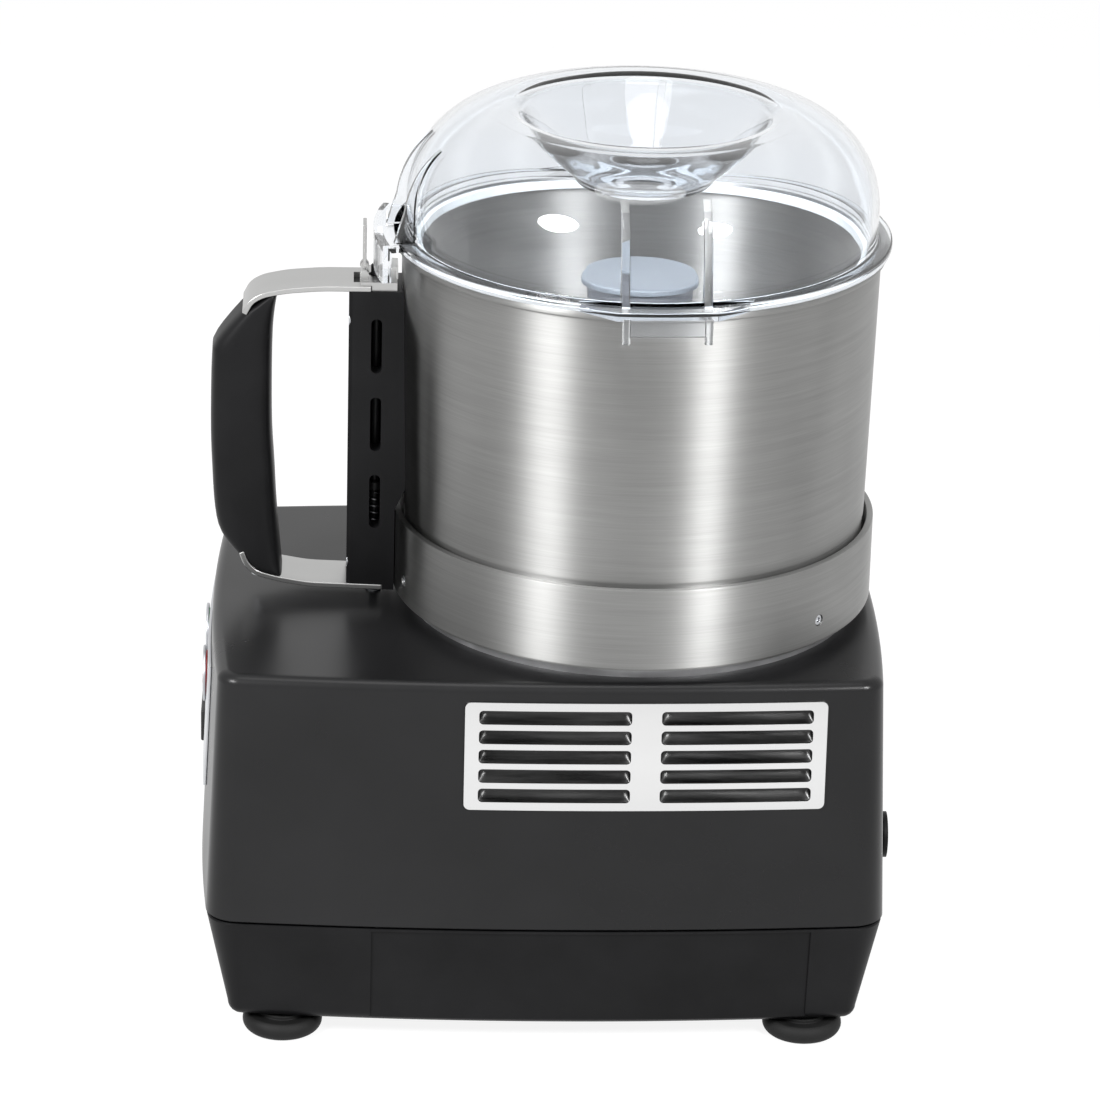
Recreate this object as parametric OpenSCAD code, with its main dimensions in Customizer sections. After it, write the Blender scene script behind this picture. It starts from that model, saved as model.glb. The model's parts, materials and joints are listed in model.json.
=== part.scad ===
// Tabletop food processor: drafted motor base, stainless bowl with side handle, clear domed lid.
// Front (control panel and handle) is -Y, the vented side is +X, Z is up, feet stand on z = 0.

/* [Bowl] */
// Outer radius of the bowl at its foot
bowl_foot_r = 90; // [84:0.5:96]
// How much wider the bowl is under its rim than at its foot
bowl_flare = 2; // [1:0.25:3]
// Height of the bowl above its support ring
bowl_rise = 109; // [95:1:125]
// Sheet thickness of the bowl
bowl_t = 1.2; // [0.8:0.1:1.6]
// Height of the support ring
ring_h = 33; // [28:1:36]

/* [Motor base] */
// Length of the base top beyond the bowl's own width
base_spare = 80; // [60:1:100]
// How far the base reaches behind the bowl foot
base_rear = 6; // [4:1:14]
// How far each long side stands outside the bowl foot
base_side = 7; // [6:0.5:14]
// How far the long sides bow outwards
side_bow = 6.5; // [2:0.5:8]
// Height of the base without its feet
base_h = 145; // [135:1:160]
// Height of the lower casing
casing_h = 44.5; // [36:0.5:52]
// Clear height under the casing
foot_gap = 8.5; // [7:0.5:12]
// How far the walls flare out from top to joint
draft = 4; // [1:0.5:6]
// Plan radius of the base corners
corner_r = 9; // [6:1:16]

/* [Lid] */
// Height of the dome above the rim
dome_h = 51; // [46:1:60]
// Wall thickness of the clear plastic
lid_t = 2.6; // [2:0.1:3.2]
// Radius of the filling hole
fill_r = 15; // [10:0.5:17]

/* [Handle] */
// Width of the handle strap
strap_w = 24.5; // [20:0.5:28]
// Thickness of the handle strap
strap_t = 2; // [1.5:0.1:2.4]
// Distance from the guide channel to the front of the grip
grip_reach = 53; // [48:1:60]

/* [Vent grille] */
// Length of the grille plate
grille_len = 137.5; // [110:0.5:150]
// Height of the grille plate
grille_h = 43.5; // [36:0.5:48]
// Louvres in each column
louvre_n = 5; // [3:1:6]

/* [Controls] */
// Travel of each push button
button_travel = 2; // [1:0.5:2.5]

/* [Hidden] */

$fn = 96;
eps = 0.02;                 // overlap length that makes cuts clean
far = 400;                  // length longer than anything it cuts
gap = 0.3;                  // clearance between moving neighbours
run = 0.1;                  // radial clearance of a running fit
fit = 0.05;                 // clearance of a press or screw seat

// Base shell
wall = 3;                   // thickness of the housing wall
hx = bowl_foot_r + base_side;
hy = bowl_foot_r + base_spare / 2;
axis_y = hy - bowl_foot_r - base_rear;
base_top = foot_gap + base_h;
seam_z = foot_gap + casing_h;
end_bow = side_bow * 0.75;
edge_r = 4;                 // radius of the rounded top edge
edge_steps = 4;             // facets round that edge
edge_z = base_top - edge_r;
seam_gap = 1;               // height of the dark joint line
side_n = 10;                // facets along a side
corner_n = 6;               // facets round a corner
corner_min = 3;             // least corner radius of a shrunken outline
corner_passes = 6;          // corrections of the corner's place
tray_wall = 3;              // thickness of the casing wall
tray_floor = 3;             // thickness of the casing floor
tray_in = 8;                // length by which the casing tapers in
tray_edge = 6;              // radius of its lower edge
lip_h = 5;                  // height of its lip inside the housing
facet_in = 0.7;             // depth of the casing's set-back panel
facet_front = -0.515;       // that panel's ends, in shares of the half length
facet_rear = 0.785;
vent_w = 6;                 // width of a slot in the casing floor
vent_l = 60;                // length of such a slot
vent_step = 20;             // distance between them
vent_n = 4;

// Feet
foot_r = 15.5;              // radius of a foot
foot_round = 4;             // radius of its edge
foot_neck = 9;              // radius where it meets the casing
foot_neck_h = 2;            // height of that neck
foot_side = 20;             // distance of a foot from the long side
foot_front = 29;            // distance from the front end
foot_back = 28;             // distance from the rear end
foot_pocket_r = 5.5;        // radius of the screw pocket
foot_pocket_h = 4;          // depth of the screw pocket
foot_screw_r = 2.5;         // radius of the foot screw
foot_head_r = 4.5;          // radius of its head
foot_head_h = 3;            // height of its head
foot_nut_r = 4.5;           // radius of its nut
foot_nut_h = 3;             // height of its nut
foot_screw_end = 4;         // length of thread above the floor
foot_h = foot_gap - eps;

// Ring and bowl
flange_h = 4.5;             // height of the shadow gap under the ring
ring_z = base_top + flange_h;
ring_top = ring_z + ring_h;
ring_over = 3.9;            // length by which the ring stands outside the bowl
ring_r = bowl_foot_r + ring_over;
ring_t = 2.6;               // thickness of the ring
ring_bevel = 1.2;           // width of the bright lower bevel
ring_lip = 0.5;             // width of the small upper bevel
flange_in = 2;              // length by which the flange hides inside the bowl's radius
flange_r = bowl_foot_r - flange_in;
bolt_in = 16;               // distance of the flange bolts inside the bowl's radius
bolt_ring = bowl_foot_r - bolt_in;
bolt_r = 3;                 // radius of a flange bolt
bolt_n = 4;
bolt_az = 45;
seat_w = 8;                 // width of the ring's foot inside the bolts
floor_lift = 14;            // height of the bowl floor in the ring
bowl_floor = ring_z + floor_lift;
bowl_top_r = bowl_foot_r + bowl_flare;
bowl_corner = 6;            // radius between floor and wall
bowl_step = 0.4;            // depth of the joggle where the bowl enters the ring
groove_h = 1.2;             // height of that joggle
bowl_out = bowl_foot_r - bowl_step;
rim_z = ring_top + bowl_rise;
rim_out = 2.6;              // width of the rolled rim
rim_h = 2.6;                // height of the rolled rim
rim_neck = 7;               // height under the rim where the wall turns upright
rim_edge = 0.8;             // radius of the rim's edges
rim_r = bowl_top_r + rim_out;

// Motor
stator_r = bowl_foot_r * 0.6;
spigot_w = 4;               // width of the flange's spigot outside the stator
spigot_r = stator_r + spigot_w;
rotor_r = stator_r * 0.55;
rotor_gap = 1;              // clearance between rotor and stator
stator_h = 52;              // height of the stator
flange_deep = 21.5;         // depth of the flange's spigot in the base
stator_top = base_top - flange_deep;
stator_low = stator_top - stator_h;
end_h = 18;                 // height of the end cap
end_z = stator_low - end_h;
end_rim = 12;               // width of the end cap's rim
end_seat = 4;               // thickness under the lower bearing
lower_z = end_z + end_seat;
shaft_r = 7;                // radius of the motor shaft
shaft_room = 1;             // clearance round the shaft
shaft_tail = 16;            // length of shaft below the end cap
shaft_z0 = end_z - shaft_tail;
shaft_down = 34;            // distance of the shaft's tip below the rim
shaft_z1 = rim_z - shaft_down;
flat_in = 1.5;              // depth of the drive flat
flat_up = 5;                // height of the drive flat over the centre tube
bearing_r = 15;             // radius of a bearing
bearing_h = 10;             // height of a bearing
bearing_bore = 0.06;        // clearance of its bore
seal_r = 13;                // radius of the shaft seal
seal_h = 6;                 // height of the shaft seal
seal_bore = 0.08;           // clearance of its bore
boss_r = 26;                // radius of the boss on the flange
boss_gap = 3;               // clearance between boss and bowl floor
boss_top = bowl_floor - boss_gap;
motor_bolt_r = 2.5;         // radius of a motor bolt
motor_bolt_in = 5;          // distance of those bolts inside the stator's edge
motor_bolt_pitch = stator_r - motor_bolt_in;
motor_bolt_end = 2;         // clearance over the end of those bolts
motor_head_h = 3;           // height of their heads
head_share = 1.8;           // head radius in shares of the screw's own
fan_hub_r = 12;             // radius of the fan hub
fan_h = 10;                 // height of the fan
fan_r = 45;                 // radius of the fan
fan_t = 2;                  // thickness of a fan blade
fan_n = 8;

// Blade set
tube_r = 16;                // radius of the centre tube
tube_t = 2.5;               // thickness of the centre tube
tube_down = 52;             // distance of its top below the rim
tube_foot = 8;              // width of its foot under the bowl floor
tube_top = rim_z - tube_down;
hub_r = 20.5;               // radius of the blade hub
hub_room = 0.6;             // clearance between hub and centre tube
hub_lift = 8;               // height of the hub's foot over the bowl floor
hub_z0 = bowl_floor + hub_lift;
collar_w = 3;               // width of the collar that carries the blades
collar_h = 4;               // height of the collar
collar_r = hub_r + collar_w;
cap_r = 22.8;               // radius of the hub cap
cap_h = 3.4;                // height of the hub cap
cap_edge = 0.6;             // width of its bevel
cap_down = 15.5;            // distance of its top below the rim
cap_top = rim_z - cap_down;
cap_peg_r = 6;              // radius of the cap's peg
cap_peg_h = 4.5;            // length of the cap's peg
blade_gap = 7;              // clearance between blade tip and bowl
blade_r = bowl_foot_r - blade_gap;
blade_t = 2;                // thickness of a blade
low_z = hub_z0 + collar_h;
blade_step = 32;            // height of the upper blade over the lower
high_z = low_z + blade_step;
low_turn = 20;
high_turn = 110;

// Handle, measured out from the bowl axis along u
rod_out = 9.3;              // distance of the push rod from the bowl
rod_u = bowl_top_r + rod_out;
rod_r = 1.6;                // radius of the push rod
rod_travel = 2.6;           // travel of the push rod
rod_bore = 0.08;            // clearance in its bush
chan_front = 10.7;          // distance from the rod to the channel's front
chan_out = rod_u + chan_front;
chan_w = 24;                // width of the guide channel
chan_lift = 4.3;            // height of the channel over the base
chan_down = 19.8;           // distance of its top below the rim
chan_z0 = base_top + chan_lift;
chan_z1 = rim_z - chan_down;
chan_h = chan_z1 - chan_z0;
chan_cham = 1.4;            // width of its front bevels
chan_in = 2;                // depth by which it is scribed round the bowl
chan_cone = 9;              // height of the relief over the ring
bore_r = 4;                 // radius of the spring bore
bush_r = 3.4;               // radius of the rod's bush
bush_h = 6;                 // height of the rod's bush
slot_w = 4.2;               // width of a slot in the channel
slot_h = 22;                // height of a slot
slot_step = 31.8;           // distance from slot to slot
slot_down = 11;             // distance of the top slot under the channel's top
slot_n = 3;
stud_r = 1.8;               // radius of a channel screw
stud_head = 2.2;            // depth of its counterbore
stud_sink = 0.2;            // depth of the head under the surface
stud_l = 17.5;              // length of a channel screw
stud_x = 7.6;               // distance of the screws from the middle
stud_low = 11;              // height of the lower pair over the channel's foot
stud_high = 12;             // distance of the upper pair under the channel's top
coil_n = 10;
coil_wire = 0.35;           // radius of the spring wire
coil_r = 2.7;               // radius of the coil
coil_lift = 8.2;            // height of the spring's seat in the channel
coil_h = 29.5;              // length of the spring
coil_end = 0.4;             // clearance at the spring's ends
coil_z0 = chan_z0 + coil_lift;
coil_z1 = coil_z0 + coil_h;
coil_sides = 6;
coil_rings = 8;
pin_r = 3;                  // radius of the interlock pin
pin_y = axis_y - rod_u;
pin_proud = 0.5;            // height of the pin over the base at rest
pin_top = base_top + pin_proud;
pin_l = 22;                 // length of the pin
pin_foot = pin_top - pin_l;
pin_collar_r = 5;           // radius of the pin's collar
pin_collar_h = 3;           // height of the pin's collar

// Plan outline of the base: a rounded rectangle with bowed sides
function arc_c(w, l, bw, bl, r, c, n) =
    n == 0 ? c :
    let (a = atan(2 * bw * c[1] / (l * l)), b = atan(2 * bl * c[0] / (w * w)),
         ye = c[1] + r * sin(a), xe = c[0] + r * sin(b))
    arc_c(w, l, bw, bl, r,
          [w - bw * ye * ye / (l * l) - r * cos(a), l - bl * xe * xe / (w * w) - r * cos(b)], n - 1);

function quarter(w, l, bw, bl, r) =
    let (c = arc_c(w, l, bw, bl, r, [w - bw - r, l - bl - r], corner_passes),
         a = atan(2 * bw * c[1] / (l * l)), b = atan(2 * bl * c[0] / (w * w)),
         ye = c[1] + r * sin(a), xe = c[0] + r * sin(b))
    concat(
        [for (i = [0 : side_n - 1]) let (y = ye * i / side_n) [w - bw * y * y / (l * l), y]],
        [for (i = [0 : corner_n]) let (t = a + (90 - b - a) * i / corner_n) c + r * [cos(t), sin(t)]],
        [for (i = [1 : side_n - 1]) let (x = xe * (side_n - i) / side_n) [x, l - bl * x * x / (w * w)]]);

function flip(p, sx, sy) = [for (q = p) [q[0] * sx, q[1] * sy]];
function back_order(p) = [for (i = [len(p) - 1 : -1 : 1]) p[i]];
function outline(w, l, bw, bl, r) =
    let (q = quarter(w, l, bw, bl, r))
    concat(q, [[0, l]], back_order(flip(q, -1, 1)), [[-w, 0]],
           [for (i = [1 : len(q) - 1]) [-q[i][0], -q[i][1]]], [[0, -l]], back_order(flip(q, 1, -1)));

// Skin through stacked outlines; each level is [height, growth]
module stack(levels) {
    rings = [for (v = levels)
             [for (p = outline(hx + v[1], hy + v[1], side_bow, end_bow, max(corner_r + v[1], corner_min)))
              [p[0], p[1], v[0]]]];
    n = len(rings[0]);
    m = len(rings);
    polyhedron(
        points = [for (g = rings) for (p = g) p],
        faces = concat(
            [[for (i = [0 : n - 1]) i]],
            [[for (i = [n - 1 : -1 : 0]) (m - 1) * n + i]],
            [for (k = [0 : m - 2]) for (i = [0 : n - 1])
                let (j = (i + 1) % n) [k * n + i, (k + 1) * n + i, (k + 1) * n + j]],
            [for (k = [0 : m - 2]) for (i = [0 : n - 1])
                let (j = (i + 1) % n) [k * n + i, (k + 1) * n + j, k * n + j]]));
}

// Strip of even thickness along a bent line
function turn_l(v) = [-v[1], v[0]] / norm(v);
function side_pt(p, i, d) =
    let (a = i == 0 ? p[1] - p[0] : p[i] - p[i - 1],
         b = i == len(p) - 1 ? a : p[i + 1] - p[i],
         m = turn_l(a) + turn_l(b))
    p[i] + m * (2 * d / (m * m));
function strip(p, t) =
    concat([for (i = [0 : len(p) - 1]) side_pt(p, i, t / 2)],
           [for (i = [len(p) - 1 : -1 : 0]) side_pt(p, i, -t / 2)]);

function arc(cx, cy, r, a0, a1, n) =
    [for (i = [0 : n]) let (a = a0 + (a1 - a0) * i / n) [cx + r * cos(a), cy + r * sin(a)]];

// Outline in (distance out, height) laid in the handle plane, w wide across
module in_handle(p, w) {
    translate([0, axis_y, 0])
        rotate([90, 0, -90])
            linear_extrude(w, center = true)
                polygon(p);
}

module on_axis(z) {
    translate([0, axis_y, z])
        children();
}

module at_rod(z) {
    translate([0, axis_y - rod_u, z])
        children();
}

module spin(p) {
    on_axis(0)
        rotate_extrude()
            polygon(p);
}

// Ring-shaped slice from azimuth a to b, section p
module sweep(p, a, b) {
    on_axis(0)
        rotate([0, 0, a])
            rotate_extrude(angle = b - a)
                polygon(p);
}

module pipe(ro, ri, z0, z1) {
    on_axis(z0)
        difference() {
            cylinder(r = ro, h = z1 - z0);
            translate([0, 0, -far])
                cylinder(r = ri, h = 2 * far);
        }
}

module bolt_spots(pitch, n, turn) {
    for (i = [0 : n - 1])
        on_axis(0)
            rotate([0, 0, turn + 360 * i / n])
                translate([pitch, 0, 0])
                    children();
}

// How far the drafted wall stands out at a height
function grow(z) = draft * (edge_z - z) / (edge_z - seam_z);

housing_levels = concat(
    [[seam_z + seam_gap / 2, grow(seam_z)], [edge_z, 0]],
    [for (i = [1 : edge_steps]) let (a = 90 * i / edge_steps)
        [edge_z + edge_r * sin(a), -edge_r * (1 - cos(a))]]);
cavity_levels = [[seam_z - wall, grow(seam_z) - wall], [edge_z, -wall],
                 [base_top - wall, -wall - edge_r / 2]];

// Grille, louvres and control panel
grille_down = 28.5;         // distance of the grille's middle under the base top
grille_z = base_top - grille_down;
grille_y = axis_y + base_rear / 3;
grille_t = 1;               // thickness of the grille plate
grille_side = 5.4;          // width of plate outside the slots
grille_mid = 11.4;          // width of plate between the columns
grille_edge = 3.3;          // height of plate above and below the slots
louvre_l = (grille_len - 2 * grille_side - grille_mid) / 2;
louvre_pitch = (grille_h - 2 * grille_edge) / (louvre_n - 0.3);
louvre_open = louvre_pitch * 0.7;
louvre_in = 2.4;            // depth of a flap's upper edge behind the plate
louvre_x = (louvre_l + grille_mid) / 2;
panel_w = 96;               // width of the control plate
panel_h = 50;               // height of the control plate
panel_t = 1.2;              // thickness of the control plate
panel_down = 39;            // distance of its middle under the base top
panel_z = base_top - panel_down;
button_r = 9;               // radius of a push button
button_x = 22;              // distance of a push button from the middle
button_up = 11.5;           // height of the push buttons over the plate's middle
button_z = panel_z + button_up;
button_out = 2.4;           // length of a button outside the wall
button_deep = 16;           // length of a button inside the wall
button_step = 3;            // width of its shoulder
pulse_down = 12;            // distance of the pulse key under the plate's middle
pulse_z = panel_z - pulse_down;
pulse_w = 40;               // width of the pulse key
pulse_h = 13;               // height of the pulse key
block_d = 22;               // depth of the switch block
block_room = 0.6;           // clearance round the button stems
gland_x = 50;               // distance of the gland from the middle of the rear wall
gland_down = 81.5;          // distance of the gland under the base top
gland_z = base_top - gland_down;
gland_r = 9;                // radius of the gland's flange
gland_neck_r = 6;           // radius of the gland's neck
gland_bore = 3.6;           // radius of the cable hole
gland_seat = 0.9;           // clearance of the flange from the leaning wall
gland_bow = end_bow * pow(gland_x / hx, 2);
gland_out = grow(pulse_z) + button_out - grow(gland_z) + gland_bow;

module button_holes(c) {
    for (x = [-button_x, button_x])
        translate([x, -hy - draft * 2, button_z])
            rotate([-90, 0, 0])
                cylinder(r = button_r + c, h = draft * 2 + wall * 3);
    translate([-pulse_w / 2 - c, -hy - draft * 2, pulse_z - pulse_h / 2 - c])
        cube([pulse_w + 2 * c, draft * 2 + wall * 3, pulse_h + 2 * c]);
}

module housing() {
    color("#1d1d1f")
        difference() {
            stack(housing_levels);
            stack(cavity_levels);
            on_axis(edge_z - wall)
                cylinder(r = spigot_r + fit, h = far);
            at_rod(edge_z - wall)
                cylinder(r = pin_r + run, h = far);
            translate([hx - wall * 3, grille_y - grille_len / 2 + grille_side, grille_z - grille_h / 2 + grille_edge])
                cube([wall * 6, grille_len - 2 * grille_side, grille_h - 2 * grille_edge]);
            button_holes(gap);
            bolt_spots(bolt_ring, bolt_n, bolt_az)
                cylinder(r = bolt_r + fit, h = far);
            translate([gland_x, hy - wall * 2 - gland_bow, gland_z])
                rotate([-90, 0, 0])
                    cylinder(r = gland_neck_r + fit, h = far);
        }
}

tray_top = seam_z - seam_gap / 2;
tray_levels = concat(
    [for (i = [0 : edge_steps]) let (a = 90 * i / edge_steps)
        [foot_gap + tray_edge * (1 - cos(a)), draft - tray_in + tray_edge * (sin(a) - 1)]],
    [[tray_top, draft - seam_gap / 2]]);
tray_inner = [[foot_gap + tray_floor, draft - tray_in - tray_wall], [tray_top - lip_h, draft - 2 * tray_wall],
              [tray_top + 2 * lip_h, draft - 2 * tray_wall]];
lip_levels = [[tray_top - lip_h, draft - wall - gap], [tray_top + lip_h, draft - wall - gap]];

module lower_casing() {
    color("#17171a")
        difference() {
            union() {
                stack(tray_levels);
                stack(lip_levels);
            }
            stack(tray_inner);
            casing_facet();
            foot_places()
                cylinder(r = foot_screw_r + fit, h = foot_gap + 2 * tray_floor);
            for (i = [0 : vent_n - 1])
                translate([(i - (vent_n - 1) / 2) * vent_step - vent_w / 2, axis_y - vent_l / 2, 0])
                    cube([vent_w, vent_l, foot_gap + 2 * tray_floor]);
        }
}

// Shallow set-back of the middle of the vented side
module casing_facet() {
    top = tray_top - seam_gap;
    intersection() {
        translate([0, facet_front * hy, 0])
            cube([far, (facet_rear - facet_front) * hy, top]);
        difference() {
            stack([[0, draft], [tray_top + seam_gap, draft * 3]]);
            stack([tray_levels[edge_steps] - [tray_edge * 2, facet_in + seam_gap],
                   tray_levels[edge_steps] - [0, facet_in], [tray_top + 2 * seam_gap, draft - facet_in]]);
        }
    }
}

module foot_places() {
    for (x = [foot_side - hx, hx - foot_side], y = [foot_front - hy, hy - foot_back])
        translate([x, y, 0])
            children();
}

module feet() {
    color("#0e0e0f")
        foot_places()
            difference() {
                rotate_extrude()
                    polygon(concat([[0, 0], [foot_r - foot_round * 0.75, 0]],
                                   arc(foot_r - foot_round, foot_round, foot_round, -60, 60, corner_n),
                                   [[foot_neck, foot_h - foot_neck_h], [foot_neck, foot_h], [0, foot_h]]));
                translate([0, 0, -eps])
                    cylinder(r = foot_pocket_r, h = foot_pocket_h + eps);
                cylinder(r = foot_screw_r + fit, h = far);
            }
}

module foot_screws() {
    color("#8d9094")
        foot_places()
            union() {
                translate([0, 0, foot_pocket_h])
                    cylinder(r = foot_screw_r, h = foot_gap + tray_floor + foot_screw_end - foot_pocket_h);
                translate([0, 0, foot_pocket_h - foot_head_h])
                    cylinder(r = foot_head_r, h = foot_head_h);
                translate([0, 0, foot_gap + tray_floor])
                    cylinder(r = foot_nut_r, h = foot_nut_h, $fn = 6);
            }
}

// Plate of thickness t lying on the drafted wall over heights z0 to z1
module skin(z0, z1, t) {
    difference() {
        stack([[z0, grow(z0) + t + fit], [z1, grow(z1) + t + fit]]);
        stack([[z0 - wall, grow(z0 - wall) + fit], [z1 + wall, grow(z1 + wall) + fit]]);
    }
}

// Each louvre's place on the wall where the wall really is, turned with its bow
module louvre_spots() {
    for (s = [-1, 1], i = [0 : louvre_n - 1])
        let (y = grille_y + s * louvre_x,
             z = grille_z + (i - (louvre_n - 1) / 2) * louvre_pitch)
        translate([hx + grow(z) - side_bow * pow(y / hy, 2), y, z])
            rotate([0, 0, atan(2 * side_bow * y / (hy * hy))])
                children();
}

// A flap, cut free at its top and pressed inwards: across in shares of the plate, up in shares of the slot
root_shares = [[0.25, -0.5], [0.25, -0.62], [0.7, -0.62], [0.7, -0.5]];
tip_shares = [[0.7, 0.42], [-0.2, 0.42]];

module vent_grille() {
    lip = concat([for (p = root_shares) [p[0] * grille_t, p[1] * louvre_open]],
                 [for (p = tip_shares) [p[0] * grille_t - louvre_in, p[1] * louvre_open]]);
    color("#d9dadb")
        union() {
            difference() {
                intersection() {
                    skin(grille_z - grille_h / 2, grille_z + grille_h / 2, grille_t);
                    translate([0, grille_y - grille_len / 2, 0])
                        cube([far, grille_len, far]);
                }
                louvre_spots()
                    translate([-wall * 2, 0, 0])
                        louvre_slot();
            }
            louvre_spots()
                translate([0, (louvre_l - louvre_open) / 2, 0])
                    rotate([90, 0, 0])
                        linear_extrude(louvre_l - louvre_open)
                            polygon(lip);
        }
}

module louvre_slot() {
    translate([0, (louvre_open - louvre_l) / 2, -louvre_open / 2])
        cube([wall * 4, louvre_l - louvre_open, louvre_open]);
    for (e = [-1, 1])
        translate([0, e * (louvre_l - louvre_open) / 2, 0])
            rotate([0, 90, 0])
                cylinder(r = louvre_open / 2, h = wall * 4);
}

module control_plate() {
    color("#b9bcc0")
        difference() {
            intersection() {
                skin(panel_z - panel_h / 2, panel_z + panel_h / 2, panel_t);
                translate([-panel_w / 2, -far, 0])
                    cube([panel_w, far, far]);
            }
            button_holes(gap);
        }
}

module round_button(x) {
    translate([x, -hy - grow(button_z) - button_out, button_z])
        rotate([-90, 0, 0])
            union() {
                cylinder(r = button_r, h = button_out + wall);
                translate([0, 0, button_out + wall])
                    cylinder(r = button_r - button_step, h = button_deep - wall - button_out);
            }
}

module start_button() {
    color("#2f8f4a")
        round_button(-button_x);
}

module stop_button() {
    color("#c22b2b")
        round_button(button_x);
}

module pulse_button() {
    color("#1b1b1c")
        union() {
            translate([-pulse_w / 2, -hy - grow(pulse_z) - button_out, pulse_z - pulse_h / 2])
                cube([pulse_w, button_out + wall, pulse_h]);
            translate([-pulse_h / 2, -hy - grow(pulse_z), pulse_z - pulse_h / 4])
                cube([pulse_h, button_deep - button_out, pulse_h / 2]);
        }
}

module switch_block() {
    reach = far / 2 - hy + wall * 2 + block_d;
    lead = wall * 2 + button_travel + gap * 3;
    color("#3a3a3e")
        difference() {
            translate([-panel_w * 0.36, wall * 2 - hy, panel_z - panel_h * 0.46])
                cube([panel_w * 0.72, block_d + wall, panel_h * 0.92]);
            for (x = [-button_x, button_x])
                translate([x, -far / 2, button_z])
                    rotate([-90, 0, 0])
                        cylinder(r = button_r - button_step + block_room, h = reach);
            translate([-pulse_h / 2 - block_room, -far / 2, pulse_z - pulse_h / 4 - block_room])
                cube([pulse_h + 2 * block_room, reach, pulse_h / 2 + 2 * block_room]);
            translate([-panel_w / 2, -hy, button_z - button_r - block_room])
                cube([panel_w, lead, (button_r + block_room) * 2]);
            translate([-panel_w / 2, -hy, pulse_z - pulse_h / 2 - block_room])
                cube([panel_w, lead, pulse_h + 2 * block_room]);
        }
}

can_r = 18;                 // radius of the capacitor
can_l = 62;                 // length of the capacitor
can_up = 2;                 // height of its cradle
can_side = 33;              // distance of the capacitor from the vented side
can_gap = 1;                // clearance between the capacitor and the circuit board
can_x = hx - can_side;
board_w = (can_x - can_r - can_gap) * 2;
board_l = 52;             // length of the circuit board
board_t = 1.6;              // thickness of the circuit board
board_up = 5;               // height of the board over the casing floor
board_in = 16;              // distance of the board from the front end
board_leg_r = 3;            // radius of its legs
part_shares = [[0.17, 0.27, 0.25, 0.35, 0.27], [0.56, 0.23, 0.29, 0.38, 0.35]];  // place and size on the board
board_y = board_in - hy;
board_z = foot_gap + tray_floor + board_up;

module control_board() {
    color("#2c6b3f")
        union() {
            translate([-board_w / 2, board_y, board_z])
                cube([board_w, board_l, board_t]);
            for (x = [-1, 1], y = [0.12, 0.88])
                translate([x * (board_w / 2 - 2 * board_leg_r), board_y + y * board_l, board_z - board_up])
                    cylinder(r = board_leg_r, h = board_up);
            for (p = part_shares)
                translate([board_w * (p[0] - 0.5), board_y + board_l * p[1], board_z])
                    cube([board_w * p[2], board_l * p[3], board_l * p[4]]);
        }
}

module capacitor() {
    color("#c9ccd0")
        translate([can_x, can_l / 2 - hy * 0.66, foot_gap + tray_floor + can_up])
            union() {
                translate([0, 0, can_r])
                    rotate([90, 0, 0])
                        cylinder(r = can_r, h = can_l);
                translate([-can_r / 2, -can_l * 0.6, -can_up])
                    cube([can_r, can_l * 0.4, can_r / 2]);
            }
}

module cable_gland() {
    color("#151516")
        translate([gland_x, hy + grow(gland_z) - gland_bow, gland_z])
            rotate([-90, 0, 0])
                difference() {
                    union() {
                        translate([0, 0, gland_seat])
                            cylinder(r = gland_r, h = gland_out - gland_seat);
                        translate([0, 0, -wall * 3])
                            cylinder(r = gland_neck_r, h = wall * 3 + gland_seat + eps);
                        translate([0, 0, -wall * 3])
                            cylinder(r = gland_r, h = wall * 1.5);
                    }
                    translate([0, 0, -far / 2])
                        cylinder(r = gland_bore, h = far);
                }
}

micro_w = 20;               // width of the microswitch
micro_d = 10;               // depth of the microswitch
micro_h = 16;               // height of the microswitch
micro_key = 4;              // width of its plunger
micro_arm = 4;              // thickness of its bracket

module microswitch() {
    color("#26262a")
        union() {
            translate([-micro_w / 2, pin_y - micro_d / 2, pin_foot - pin_collar_h - micro_h])
                cube([micro_w, micro_d, micro_h]);
            translate([-micro_key / 2, pin_y - micro_key / 2, pin_foot - pin_collar_h])
                cube([micro_key, micro_key, pin_collar_h - run]);
            translate([micro_w / 2 - eps, pin_y - micro_d / 2, pin_foot - pin_collar_h - micro_h])
                cube([micro_arm, micro_d, base_top - wall - pin_foot + pin_collar_h + micro_h]);
        }
}

module interlock_pin() {
    color("#c8cacd")
        at_rod(pin_foot)
            union() {
                cylinder(r = pin_r, h = pin_l);
                cylinder(r = pin_collar_r, h = pin_collar_h);
            }
}

module motor_flange() {
    color("#a9abad")
        difference() {
            union() {
                on_axis(base_top)
                    cylinder(r = flange_r, h = flange_h);
                on_axis(stator_top)
                    cylinder(r = spigot_r, h = flange_deep + eps);
                on_axis(base_top)
                    cylinder(r = boss_r, h = boss_top - base_top);
            }
            on_axis(stator_top - eps)
                cylinder(r = bearing_r + fit, h = bearing_h * 2 + eps);
            on_axis(0)
                cylinder(r = shaft_r + shaft_room, h = far);
            on_axis(boss_top - seal_h)
                cylinder(r = seal_r + fit, h = far);
            bolt_spots(bolt_ring, bolt_n, bolt_az)
                cylinder(r = bolt_r + fit, h = far);
            bolt_spots(motor_bolt_pitch, bolt_n, 0)
                cylinder(r = motor_bolt_r + fit, h = stator_top + bearing_h);
        }
}

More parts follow.
